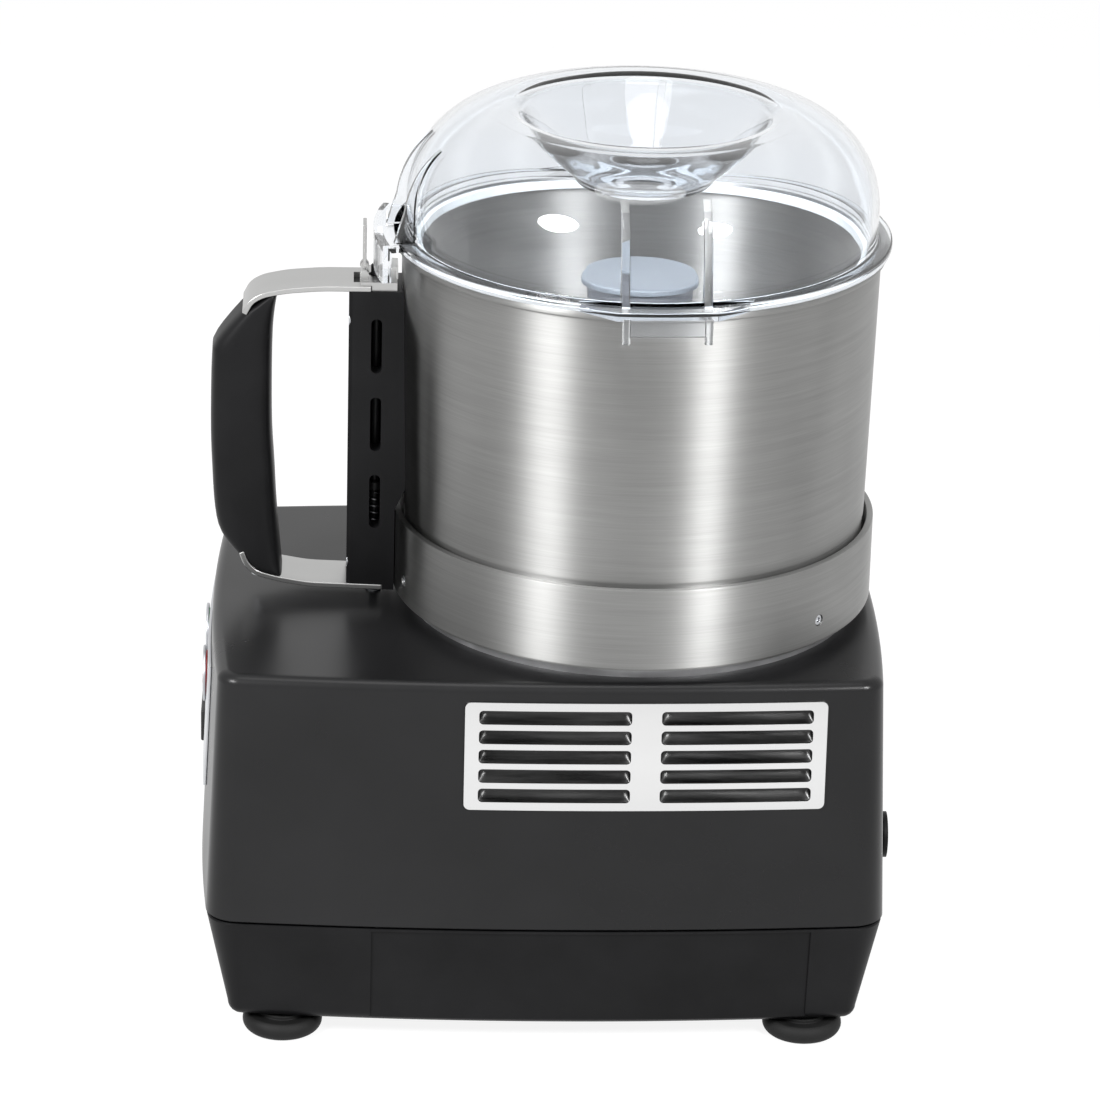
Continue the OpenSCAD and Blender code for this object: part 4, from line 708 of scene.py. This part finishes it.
def housingShell():
    edge, steps = base["edge"], base["edgeSteps"]
    edgeZ = baseTop - edge
    levels = [(base["seam"] + base["seamGap"] / 2, grownAt(base["seam"]) - 0.5),
              (base["seam"] + base["seamGap"] / 2 + 0.5, grownAt(base["seam"]))]
    levels.append((edgeZ, 0))
    for k in range(1, steps + 1):
        t = math.pi / 2 * k / steps
        levels.append((edgeZ + edge * math.sin(t), -edge * (1 - math.cos(t))))
    levels.append((baseTop, -edge - 1))
    shell = stacked("housingShell", levels)
    hollow = stacked("hollow", [(base["seam"] - 6, base["draft"] - base["wall"]), (edgeZ, -base["wall"]),
                                (baseTop - base["wall"], -base["wall"] - edge / 2)])
    under, over = baseTop - holes["inside"], baseTop + holes["outside"]
    cutters = [hollow, rod("spigotHole", holes["spigot"], (0, axisY, under), (0, axisY, over), 96)]
    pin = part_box("interlock_pin")
    pinY = (pin[0][1] + pin[1][1]) / 2 / mm
    cutters.append(rod("pinHole", holes["pin"], (0, pinY, under), (0, pinY, over)))
    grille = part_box("vent_grille")
    low, high = grille[0] / mm, grille[1] / mm
    lapY, lapZ = holes["grilleLap"]
    innerX, outerX = base["halfWide"] - holes["inside"], base["halfWide"] + holes["outside"]
    cutters.append(block("grilleHole", (innerX, low[1] + lapY, low[2] + lapZ),
                         (outerX, high[1] - lapY, high[2] - lapZ)))
    innerY, outerY = base["halfLong"] - holes["inside"], base["halfLong"] + holes["outside"]
    for key in ("start_button", "stop_button"):
        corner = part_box(key)
        x, z = (corner[0][0] + corner[1][0]) / 2 / mm, (corner[0][2] + corner[1][2]) / 2 / mm
        cutters.append(rod(key + "Hole", holes["key"], (x, -outerY, z), (x, -innerY, z)))
    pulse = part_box("pulse_button")
    low, high = pulse[0] / mm, pulse[1] / mm
    gap = holes["pulseGap"]
    cutters.append(block("pulseHole", (low[0] - gap, -outerY, low[2] - gap),
                         (high[0] + gap, -innerY, high[2] + gap)))
    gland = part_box("cable_gland")
    x, z = (gland[0][0] + gland[1][0]) / 2 / mm, (gland[0][2] + gland[1][2]) / 2 / mm
    cutters.append(rod("glandHole", holes["gland"], (x, innerY, z), (x, outerY, z)))
    cut(shell, cutters)
    dress(weigh(shell), "black_paint", "base", "housing")


casing = {"low": 8.5, "taper": 8, "edge": 6, "edgeSteps": 7, "wall": 3, "setBack": 0.7, "front": -67,
          "rear": 102, "ledge": 1, "slant": 0.75, "lip": 0.2, "around": 25, "over": 6}


def casingTray():
    top = base["seam"] - base["seamGap"] / 2
    low, edge, setBack = casing["low"], casing["edge"], casing["setBack"]
    foot = base["draft"] - casing["taper"]
    levels = [(low, foot - edge - 1)]
    for k in range(casing["edgeSteps"] + 1):
        t = math.pi / 2 * k / casing["edgeSteps"]
        levels.append((low + edge * (1 - math.cos(t)), foot + edge * (math.sin(t) - 1)))
    levels += [(top - 0.5, base["draft"] - base["seamGap"] / 2), (top, base["draft"] - base["seamGap"])]
    tray = stacked("casingTray", levels)
    inner = stacked("inner", [(low + casing["wall"], foot - casing["wall"]),
                              (top + casing["over"], base["draft"] - 2 * casing["wall"])])
    outer = stacked("around", [(0, casing["around"]), (top - casing["ledge"], casing["around"])])
    kept = stacked("kept", [(low - 4, foot - setBack - casing["slant"]), (low + edge, foot - setBack),
                            (top + 2, base["draft"] - setBack - casing["lip"])])
    cut(outer, [kept])
    window = block("window", (0, casing["front"], -1), (140, casing["rear"], top))
    cut(window, [outer], "INTERSECT")
    cut(tray, [inner, window])
    dress(weigh(tray), "black_plastic", "base", "lower_casing")


footShape = {"radius": 15.5, "bore": 2.6, "pocket": 5.5, "bulge": 4, "tread": 12, "neck": 9, "neckTall": 1.6,
             "soft": 0.4, "turns": 64}


def rubberFeet():
    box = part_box("feet")
    low, high = box[0] / mm, box[1] / mm
    radius, tall = footShape["radius"], high[2] - low[2]
    bore, pocket, bulge, neck = [footShape[key] for key in ("bore", "pocket", "bulge", "neck")]
    profile = [(bore, bulge), (pocket, bulge), (pocket, 0), (footShape["tread"], 0)]
    profile += arc(radius - bulge, bulge, bulge, -60, 60, 8)
    profile += [(neck, tall - footShape["neckTall"]), (neck, tall), (bore, tall)]
    foot = turned("foot", softened(profile, footShape["soft"], 3), footShape["turns"], (0, 0))
    spots = [((x, y, 0), (0, 0, 0)) for x in (low[0] + radius, high[0] - radius)
             for y in (low[1] + radius, high[1] - radius)]
    dress(copied("rubberFeet", foot, spots, "foot_rubber"), "foot_rubber", "base", "feet")


housingShell()
casingTray()
rubberFeet()
stage("base shells made")

louvres = {"rows": 5, "long": 57.6, "open": 5.4, "middle": 11.4, "deep": 3.4, "plate": 1, "corner": 2.4,
           "pitch": 7.86, "endRound": 3.2, "steps": 40, "slotCorner": 1.6, "slotDeep": 8, "gap": 0.05,
           "edge": 0.22, "bends": 24, "rungs": 8, "rise": 0.86, "tuck": 0.1, "curl": 0.8, "sheet": 0.6}


def wallX(y, z):
    grown = grownAt(z)
    return base["halfWide"] + grown - base["bow"] * (y / (base["halfLong"] + grown)) ** 2


def onWall(obj, midY, midZ):
    # the piece is drawn flat: its x runs along the wall, its y up, its z outwards
    for v in obj.data.vertices:
        x, y, z = v.co / mm
        v.co = Vector((wallX(midY + x, midZ + y) + z, midY + x, midZ + y)) * mm
    obj.data.flip_normals()
    return obj


def roundedBox(halfX, halfY, radius, steps=8):
    points = []
    for sx, sy, start in ((1, 1, 0), (-1, 1, 90), (-1, -1, 180), (1, -1, 270)):
        points += arc(sx * (halfX - radius), sy * (halfY - radius), radius, start, start + 90, steps)
    return points


def ventGrille():
    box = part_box("vent_grille")
    low, high = box[0] / mm, box[1] / mm
    midY, midZ = (low[1] + high[1]) / 2, (low[2] + high[2]) / 2
    halfLong, halfTall = (high[1] - low[1]) / 2, (high[2] - low[2]) / 2
    step = (louvres["long"] + louvres["middle"]) / 2
    centres = [(sx * step, (k - (louvres["rows"] - 1) / 2) * louvres["pitch"]) for sx in (-1, 1)
               for k in range(louvres["rows"])]

    def flat(point, depth):
        return (point[0], point[1], depth)

    plate = extruded("ventPlate", roundedBox(halfLong, halfTall, louvres["corner"]), louvres["plate"], flat)
    plate.data.transform(Matrix.Translation((0, 0, (louvres["gap"] + louvres["plate"] / 2) * mm)))
    slotShape = roundedBox(louvres["long"] / 2, louvres["open"] / 2, louvres["slotCorner"])
    spots = [((x, y, 0), (0, 0, 0)) for x, y in centres]
    slots = copied("slots", extruded("slot", slotShape, louvres["slotDeep"], flat), spots, "bright_steel")
    cut(plate, [slots])
    bevelled(plate, louvres["edge"], 2)
    settle(plate)
    bm = bmesh.new()
    bm.from_mesh(plate.data)
    for k in range(1, louvres["bends"]):
        x = -halfLong + 2 * halfLong * k / louvres["bends"]
        bmesh.ops.bisect_plane(bm, geom=bm.verts[:] + bm.edges[:] + bm.faces[:], plane_co=(x * mm, 0, 0),
                               plane_no=(1, 0, 0))
    bm.to_mesh(plate.data)
    bm.free()
    onWall(plate, midY, midZ)
    shade(plate, 35)
    dress(weigh(plate), "bright_steel", "base", "vent_grille")

    bm = bmesh.new()
    rows = []
    halfL, n, m = louvres["long"] / 2, louvres["steps"], louvres["rungs"]
    tuck = louvres["tuck"]
    for i in range(n + 1):
        s = -math.cos(math.pi * i / n) * halfL
        past = max(0, abs(s) - (halfL - louvres["endRound"])) / louvres["endRound"]
        depth = louvres["deep"] * math.sqrt(max(0, 1 - past ** 2))
        row = []
        for k in range(m + 1):
            t = k / m
            sink = depth * math.sin(t * math.pi / 2) ** louvres["curl"] + tuck
            row.append((s, louvres["open"] * (t * louvres["rise"] - 0.5) - (1 - t) * tuck, -sink))
        rows.append(row)
    front = [[bm.verts.new(p) for p in row] for row in rows]
    rear = [[bm.verts.new((p[0], p[1] - tuck, p[2] - louvres["sheet"])) for p in row] for row in rows]
    for i in range(n):
        for k in range(m):
            bm.faces.new((front[i][k], front[i + 1][k], front[i + 1][k + 1], front[i][k + 1]))
            bm.faces.new((rear[i][k], rear[i][k + 1], rear[i + 1][k + 1], rear[i + 1][k]))
        bm.faces.new((front[i][0], rear[i][0], rear[i + 1][0], front[i + 1][0]))
        bm.faces.new((front[i][m], front[i + 1][m], rear[i + 1][m], rear[i][m]))
    for i in (0, n):
        for k in range(m):
            bm.faces.new((front[i][k], front[i][k + 1], rear[i][k + 1], rear[i][k]))
    flap = toMesh("flap", bm, 50)
    flaps = copied("louvreFlaps", flap, spots, "bright_steel")
    onWall(flaps, midY, midZ)
    shade(flaps, 50)
    # the flaps are drawn near-black as painted shade in the slots, in place of the grille's own bright steel
    dress(flaps, "bright_steel", "base", skin="painted_shade_flap_steel")


ventGrille()
stage("grille made")

# Control panel

keys = {"hole": 9.4, "bezel": 1.6, "out": 1.1, "soft": 0.35, "lift": 1.25, "turns": 72}
marks = {"tall": 0.35, "sink": 0.3, "ring": (3.0, 3.9), "ringSoft": 0.15, "bar": (0.5, 3.8),
         "barCorner": 0.45, "turns": 64}


def keyBezels():
    inner, outer, out = keys["hole"], keys["hole"] + keys["bezel"], keys["out"]
    profile = softened([(inner, 0), (outer, 0), (outer, out), (inner, out)], keys["soft"], 3)
    ring = turned("bezel", profile, keys["turns"], (0, 0))
    spots = []
    for key in ("start_button", "stop_button"):
        low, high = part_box(key)[0] / mm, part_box(key)[1] / mm
        z = (low[2] + high[2]) / 2
        y = -(base["halfLong"] + grownAt(z) + keys["lift"])
        spots.append((((low[0] + high[0]) / 2, y, z), (math.pi / 2, 0, 0)))
    dress(copied("keyBezels", ring, spots, "zinc_steel"), "zinc_steel", "base")


def keyMark(name, key, body, ringed):
    low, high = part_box(key)[0] / mm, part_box(key)[1] / mm
    x, z, y = (low[0] + high[0]) / 2, (low[2] + high[2]) / 2, low[1]
    if ringed:
        (inner, outer), down, tall = marks["ring"], -marks["sink"], marks["tall"]
        profile = softened([(inner, down), (outer, down), (outer, tall), (inner, tall)], marks["ringSoft"], 2)
        mark = turned(name, profile, marks["turns"], (0, 0))
        mark.data.transform(Matrix.Translation(Vector((x, y, z)) * mm) @ Matrix.Rotation(math.pi / 2, 4, "X"))
    else:
        def place(point, depth):
            return (x + point[0], y + depth, z + point[1])
        mark = extruded(name, roundedBox(*marks["bar"], marks["barCorner"], 4), marks["tall"] * 2, place)
    dress(mark, "cap_plastic", body, skin="mark_white")


refined("controlPanel", "control_plate", "panel_steel", "base", 0.25)
refined("startKey", "start_button", "green_plastic", "start_key", 0.6)
refined("stopKey", "stop_button", "red_plastic", "stop_key", 0.6)
refined("pulseKey", "pulse_button", "dark_plastic", "pulse_key", 0.7)
keyBezels()
keyMark("startMark", "start_button", "start_key", False)
keyMark("stopMark", "stop_button", "stop_key", True)
stage("controls made")

# Ring and bowl

bowl = {"foot": ringR - 3.9, "top": rimR - 2.6, "sheet": 1.2, "floor": ringLow + 14, "corner": 6, "neck": 7,
        "bore": 16.1, "gap": 0.4, "stepLow": 2, "stepOver": 0.2, "flare": 1.3, "bead": 3.2, "beadSoft": 0.4,
        "turns": 256}
ringShape = {"hole": 66, "sheet": 2.6, "foot": 1.2, "soft": 0.4, "screwHole": 2.3}
screw = {"radius": 2.15, "long": 2.5, "socket": 0.9, "socketDeep": 1.0, "soft": 0.25, "sunk": 0.4,
         "turns": 32}
setScrewTurns = [math.radians(47 + 120 * k) for k in range(3)]


def supportRing():
    inner, floor = ringR - ringShape["sheet"], ringLow + ringShape["sheet"]
    hole, foot = ringShape["hole"], ringShape["foot"]
    profile = [(hole, ringLow), (ringR - foot, ringLow), (ringR, ringLow + foot), (ringR, ringTop),
               (inner, ringTop), (inner, floor), (hole, floor)]
    ring = turned("supportRing", softened(profile, ringShape["soft"], 4), bowl["turns"], smooth=30)
    z = (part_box("ring_screws")[0][2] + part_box("ring_screws")[1][2]) / 2 / mm
    drills = []
    for t in setScrewTurns:
        way = Vector((math.cos(t), math.sin(t), 0))
        middle = Vector((0, axisY, z))
        start, end = middle + way * (inner - screw["long"]), middle + way * (ringR + screw["long"])
        drills.append(rod("drill", ringShape["screwHole"], start, end, screw["turns"]))
    cut(ring, drills, smooth=30)
    dress(ring, "brushed_steel", "base", "bowl_ring")


def socketed(radius, top, long, socket, socketDeep, soft):
    # half section of a screw's end with a round socket in it
    axis = 0.02
    return softened([(socket, -socketDeep), (socket, top), (radius, top), (radius, -long), (axis, -long),
                     (axis, -socketDeep)], soft, 3)


def setScrews():
    low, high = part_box("ring_screws")[0] / mm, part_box("ring_screws")[1] / mm
    z = (low[2] + high[2]) / 2
    one = turned("setScrew", socketed(screw["radius"], 0, screw["long"], screw["socket"], screw["socketDeep"],
                                      screw["soft"]), screw["turns"], (0, 0))
    r = ringR - screw["sunk"]
    spots = [((r * math.cos(t), axisY + r * math.sin(t), z), (0, math.pi / 2, t)) for t in setScrewTurns]
    dress(copied("setScrews", one, spots, "zinc_steel"), "zinc_steel", "base", "ring_screws")


def bowlShell():
    foot, top, t = bowl["foot"], bowl["top"], bowl["sheet"]
    low, corner, flareZ = bowl["floor"], bowl["corner"], ringTop + bowl["flare"]
    neckZ, bead, soft = rimZ - bowl["neck"], bowl["bead"], bowl["beadSoft"]
    inner = foot - bowl["gap"]
    outline = [(bowl["bore"], low)] + arc(inner - corner, low + corner, corner, -90, 0, 10)
    outline += softened([(inner, ringTop - bowl["stepLow"]), (inner, ringTop + bowl["stepOver"]),
                         (foot, flareZ), (foot + 0.1, ringTop + 5)], 0.5, 4, False)
    outline += softened([(top, neckZ), (top, rimZ - bead), (rimR - soft, rimZ - bead + soft),
                         (rimR, rimZ - bead / 2 + soft / 2), (rimR - soft, rimZ), (top - t, rimZ),
                         (top - t, neckZ)], 0.7, 4, False)
    outline += [(foot - t, flareZ), (inner - t, ringTop - bowl["stepLow"] / 2)]
    outline += arc(inner - corner, low + corner, corner - t, 0, -90, 10)
    outline.append((bowl["bore"], low + t))
    dress(turned("bowlShell", outline, bowl["turns"], smooth=30), "brushed_steel", "bowl_unit", "bowl")


supportRing()
setScrews()
bowlShell()
stage("bowl made")

# Handle

handle = {"reach": 53, "strap": 2, "wide": 24.5, "bend": 4, "edge": 0.35, "gripHalf": 12.4, "levels": 44,
          "around": 56, "endNarrow": 1.6, "endLong": 3, "thinnest": 0.4, "roundOut": 0.62, "roundSide": 0.5}
notchShape = {"half": 6.3, "far": 9, "near": 6.6, "under": 3, "over": 5}
legLow = channelLow + handle["strap"] / 2
legTop = channelTop + handle["strap"] / 2
legTall = legTop - legLow
upperShares = [(-0.16, 0), (0.19, 0), (0.453, -0.009), (0.623, -0.025), (0.708, -0.046), (0.755, -0.086)]
lowerShares = [(-0.26, 0), (0.283, 0.008), (0.509, 0.025), (0.66, 0.044), (0.736, 0.074), (0.77, 0.115)]
innerShares = [(0.474, -0.971), (0.483, -0.924), (0.517, -0.752), (0.534, -0.62), (0.555, -0.45),
               (0.551, -0.163), (0.515, -0.021)]
outerShares = [(0.5, -0.971), (0.632, -0.953), (0.745, -0.926), (0.906, -0.845), (0.966, -0.763),
               (0.992, -0.592), (1, -0.45), (0.992, -0.245), (0.962, -0.188), (0.785, -0.092), (0.689, -0.06),
               (0.56, -0.021)]


def onHandle(shares, z):
    return [(channelOut + handle["reach"] * a, z + legTall * b) for a, b in shares]


def strapLeg(name, shares, z):
    path = [Vector(p) for p in softened(onHandle(shares, z), handle["bend"], 6, False)]
    half = handle["strap"] / 2
    sides = [[], []]
    for i, p in enumerate(path):
        way = (path[min(i + 1, len(path) - 1)] - path[max(i - 1, 0)]).normalized()
        square = Vector((-way.y, way.x)) * half
        sides[0].append(tuple(p + square))
        sides[1].append(tuple(p - square))
    leg = extruded(name, sides[0] + sides[1][::-1], handle["wide"], inHandle)
    bevelled(leg, handle["edge"], 3)
    return settle(leg)


def handleStrap():
    upper = strapLeg("handleStrap", upperShares, legTop)
    lower = strapLeg("lowerLeg", lowerShares, legLow)
    half, rodY = notchShape["half"], axisY - rodOut
    notch = block("notch", (-half, rodY - notchShape["far"], channelTop - notchShape["under"]),
                  (half, rodY - notchShape["near"], channelTop + notchShape["over"]))
    cut(upper, [notch])
    bm = bmesh.new()
    bm.from_mesh(upper.data)
    bm.from_mesh(lower.data)
    bm.to_mesh(upper.data)
    bm.free()
    bpy.data.objects.remove(lower)
    shade(upper, 38)
    dress(weigh(upper), "brushed_steel", "bowl_unit", "handle_strap", skin="strap_steel")


def valueAt(curve, z):
    for (u0, z0), (u1, z1) in zip(curve, curve[1:]):
        if z <= z1:
            return u0 + (u1 - u0) * max(0, z - z0) / (z1 - z0)
    return curve[-1][0]


def handleGrip():
    inner, outer = [throughPoints(onHandle(shares, legTop), 6) for shares in (innerShares, outerShares)]
    low, high = inner[0][1], inner[-1][1]
    bm = bmesh.new()
    rings = []
    for k in range(handle["levels"] + 1):
        share = (1 - math.cos(math.pi * k / handle["levels"])) / 2
        z = low + (high - low) * share
        a, b = valueAt(inner, z), valueAt(outer, z)
        middle, halfU = (a + b) / 2, max((b - a) / 2, handle["thinnest"])
        end = min(share, 1 - share) * (high - low)
        halfX = handle["gripHalf"] - handle["endNarrow"] * max(0, 1 - end / handle["endLong"]) ** 2
        ring = []
        for i in range(handle["around"]):
            t = 2 * math.pi * i / handle["around"]
            c, s = math.cos(t), math.sin(t)
            u = middle + halfU * math.copysign(abs(c) ** handle["roundOut"], c)
            x = halfX * math.copysign(abs(s) ** handle["roundSide"], s)
            ring.append(bm.verts.new((x, axisY - u, z)))
        rings.append(ring)
    for lower, upper in zip(rings, rings[1:]):
        for i in range(handle["around"]):
            j = (i + 1) % handle["around"]
            bm.faces.new((lower[i], lower[j], upper[j], upper[i]))
    bm.faces.new(rings[0])
    bm.faces.new(rings[-1])
    dress(weigh(toMesh("handleGrip", bm, 48)), "black_plastic", "bowl_unit", "handle_grip")


panHead = {"radius": 3.5, "proud": 0.2, "deep": 1.9, "socket": 1.7, "socketDeep": 1.0, "soft": 0.3,
           "inset": 3.6, "turns": 36}


def channelScrews():
    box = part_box("channel_screws")
    low, high = box[0] / mm, box[1] / mm
    proud, inset = panHead["proud"], panHead["inset"]
    head = turned("head", socketed(panHead["radius"], proud, panHead["deep"], panHead["socket"],
                                   panHead["socketDeep"], panHead["soft"]), panHead["turns"], (0, 0))
    spots = [((x, low[1] + proud, z), (math.pi / 2, 0, 0)) for x in (low[0] + inset, high[0] - inset)
             for z in (low[2] + inset, high[2] - inset)]
    dress(copied("channelScrews", head, spots, "zinc_steel"), "zinc_steel", "bowl_unit", "channel_screws")


spring = {"wire": 0.35, "turns": 10.0}


def rodSpring():
    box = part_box("rod_spring")
    low, high = box[0] / mm, box[1] / mm
    mesh = bpy.data.meshes.new("coil")
    mesh.from_pydata([(0, 0, 0)], [], [])
    coil = bpy.data.objects.new("rodSpring", mesh)
    scene.collection.objects.link(coil)
    wire = spring["wire"]
    radius, tall = (high[0] - low[0]) / 2 - wire, high[2] - low[2] - 2 * wire
    runTree(coil, *coilTree(), {"Turns": spring["turns"], "Coil Radius": radius * mm, "Height": tall * mm,
                                "Wire Radius": wire * mm, "Finish": skins["spring_steel"]})
    coil.data.transform(Matrix.Translation(Vector((0, axisY - rodOut, low[2] + wire)) * mm))
    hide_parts("rod_spring")
    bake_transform(coil)


handleStrap()
handleGrip()
channelScrews()
rodSpring()
refined("guideChannel", "guide_channel", "black_plastic", "bowl_unit", 0.3)
refined("latchBracket", "latch_foot", "bright_steel", "bowl_unit", 0.15, skin="strap_steel")
refined("latchStrip", "lid_latch", "bright_steel", "latch", 0.2, skin="strap_steel")
refined("hubCap", "hub_cap", "cap_plastic", "blade_unit", 0.4)
refined("bladeHub", "blade_hub", "hub_plastic", "blade_unit", 0.3)
refined("lowerBlade", "lower_blade", "blade_steel", "blade_unit", 0.35)
refined("upperBlade", "upper_blade", "blade_steel", "blade_unit", 0.35)
stage("handle, latch and blades made")

# Lid

lid = {"wall": 2.6, "seat": 0.2, "dome": 51, "brimOver": 1.4, "brim": 3.2, "hole": 15, "funnel": 28.5,
       "fold": 6.5, "foldOut": 0.6, "lipSoft": 0.6, "skirt": 5, "step": 1.6, "neck": 8, "crownEnd": 84,
       "foldEnd": 128, "turns": 192}
clip = {"out": 5.9, "angle": 2.5, "earIn": 7, "earFoot": 33, "earTip": 19, "earSoft": 1.2, "hook": 3,
        "hookTall": 9.2, "web": 1.6, "webTall": 6.2}
fin = {"apart": 15.2, "thick": 3, "end": 43, "steps": 14, "sink": 1, "proud": 3.8, "tip": 0.2, "footIn": 4.7}
tongue = {"start": -106, "cam": -90, "end": -75, "lap": 0.5, "out": 1.1, "root": 1.3, "sheet": 1.6,
          "skirt": 8.6, "camThick": 3.5, "camTall": 11.5, "finAngle": -84, "finApart": 13, "steps": 20}
seatZ = rimZ + lid["seat"]
domeR = bowl["top"] - 1.5
crestZ = rimZ + lid["dome"]
brimR = rimR + lid["brimOver"]
shoulderR = lid["dome"] * 0.7
shoulderX, shoulderZ = domeR - shoulderR, crestZ - shoulderR
foldR = domeR * 0.57
clipR = brimR + clip["out"]
funnelShares = [(0.685, 0.667), (0.438, 0.351), (0.288, 0.147), (0.219, 0.056), (0.137, 0.014), (0.027, 0)]
funnelInner = [(0.027, 0), (0.164, 0.02), (0.274, 0.07), (0.356, 0.2), (0.499, 0.37), (0.729, 0.665)]


def domeProfile():
    lip = crestZ - lid["funnel"] + lid["wall"] * 0.4
    deep, wall, step = foldR - lid["hole"], lid["wall"], lid["step"]
    foldX, foldEnd, crownEnd = foldR + lid["foldOut"], lid["foldEnd"], lid["crownEnd"]

    def funnel(shares, z):
        return [(lid["hole"] + deep * a, z + lid["funnel"] * b) for a, b in shares]

    brimZ = seatZ + lid["brim"]
    outer = softened([(domeR - wall + step, seatZ), (brimR, seatZ), (brimR, brimZ), (domeR, brimZ),
                      (domeR, brimZ + lid["neck"])], 0.8, 4, False)[1:]
    outer += arc(shoulderX, shoulderZ, shoulderR, 0, crownEnd, 44)
    bend = arc(foldX, crestZ - lid["fold"], lid["fold"], 90, foldEnd, 8)
    outer += bend[:-1] + throughPoints([bend[-1]] + funnel(funnelShares, lip), 6)
    outer.append((lid["hole"], lip - lid["lipSoft"]))
    innerBend = arc(foldX, crestZ - lid["fold"] - wall, lid["fold"], foldEnd, 90, 8)
    inner = [(lid["hole"], lip - wall + lid["lipSoft"])]
    inner += throughPoints(funnel(funnelInner, lip - wall) + [innerBend[0]], 6) + innerBend[1:]
    inner += arc(shoulderX, shoulderZ, shoulderR - wall, crownEnd, 0, 44)
    low = seatZ - lid["skirt"]
    inner += softened([(domeR - wall, seatZ), (domeR - wall, low), (domeR - wall + step, low),
                       (domeR - wall + step, seatZ)], 0.4, 3, False)
    return outer + inner


def turnedAt(angle):
    t = math.radians(angle)

    def place(point):
        x, y, z = point
        return (x * math.cos(t) - y * math.sin(t), axisY + x * math.sin(t) + y * math.cos(t), z)
    return place


def finOutline(apart, reach):
    def at(k, over):
        a = math.radians(fin["end"] * k / fin["steps"])
        r = shoulderX + (shoulderR + over) * math.cos(a)
        return (math.sqrt(r * r - apart * apart), shoulderZ + (shoulderR + over) * math.sin(a))

    n = fin["steps"]
    root = [at(k, -fin["sink"]) for k in range(n + 1)]
    edge = [at(k, fin["tip"] + (fin["proud"] - fin["tip"]) * (1 - k / n)) for k in range(n, -1, -1)]
    foot = [(reach, seatZ + lid["brim"]), (reach, seatZ + lid["brim"] / 2)]
    return [(root[0][0], seatZ + lid["brim"] / 2)] + root + edge + foot


def finPiece(angle, apart, reach):
    place = turnedAt(angle)

    def upright(point, across):
        return place((point[0], apart + across, point[1]))
    return extruded("fin", finOutline(apart, reach), fin["thick"], upright)


def slab(outline, low, high, angle):
    place = turnedAt(angle)

    def level(point, up):
        return place((point[0], point[1], (low + high) / 2 + up))
    return extruded("slab", softened(outline, clip["earSoft"], 4), high - low, level)


def clipPieces(angle):
    def upright(inner, low, high, down):
        outline = [(inner, low), (clipR, low), (clipR, high), (inner, high)]
        return slab(outline, seatZ - down, seatZ + lid["brim"] / 2, angle)

    root, foot, tip, apart = brimR - clip["earIn"], clip["earFoot"], clip["earTip"], fin["apart"]
    ear = [(root, -foot), (clipR, -tip), (clipR, tip), (root, foot)]
    made = [slab(ear, seatZ, seatZ + lid["brim"], angle)]
    for middle in (-apart, apart):
        made.append(finPiece(angle, middle, clipR - fin["footIn"]))
        half = fin["thick"] / 2
        made.append(upright(clipR - clip["hook"], middle - half, middle + half, clip["hookTall"]))
    made.append(upright(clipR - clip["web"], -apart, apart, clip["webTall"]))
    return made


def arcSlab(r0, r1, low, high, start, end):
    bm = bmesh.new()
    rings = []
    steps = tongue["steps"]
    for k in range(steps + 1):
        t = math.radians(start + (end - start) * k / steps)
        c, s = math.cos(t), math.sin(t)
        corners = ((r0, low), (r1, low), (r1, high), (r0, high))
        rings.append([bm.verts.new((r * c, axisY + r * s, z)) for r, z in corners])
    for a, b in zip(rings, rings[1:]):
        for i in range(4):
            j = (i + 1) % 4
            bm.faces.new((a[i], b[i], b[j], a[j]))
    bm.faces.new(rings[0])
    bm.faces.new(rings[-1])
    return toMesh("arcSlab", bm)


def clearLid():
    dome = turned("clearLid", domeProfile(), lid["turns"], smooth=30)
    outside, sheet = clipR + tongue["out"], tongue["sheet"]
    start, cam, end = tongue["start"], tongue["cam"], tongue["end"]
    pieces = clipPieces(clip["angle"]) + clipPieces(180 + clip["angle"])
    pieces.append(arcSlab(domeR - tongue["root"], outside, seatZ, seatZ + lid["brim"], start, end))
    pieces.append(arcSlab(outside - sheet, outside, rimZ - tongue["skirt"], seatZ + sheet, start, cam))
    pieces.append(arcSlab(outside - tongue["camThick"], outside, rimZ - tongue["camTall"], seatZ + sheet,
                          cam - tongue["lap"], end))
    for side in (-1, 1):
        pieces.append(finPiece(tongue["finAngle"], side * tongue["finApart"], clipR - fin["footIn"]))
    joined = pieces.pop()
    cut(joined, pieces, "UNION", 30)
    cut(dome, [joined], "UNION", 30)
    dress(dome, "clear_plastic", "lid_unit", "lid")
    dome.visible_shadow = False


clearLid()
stage("lid made")
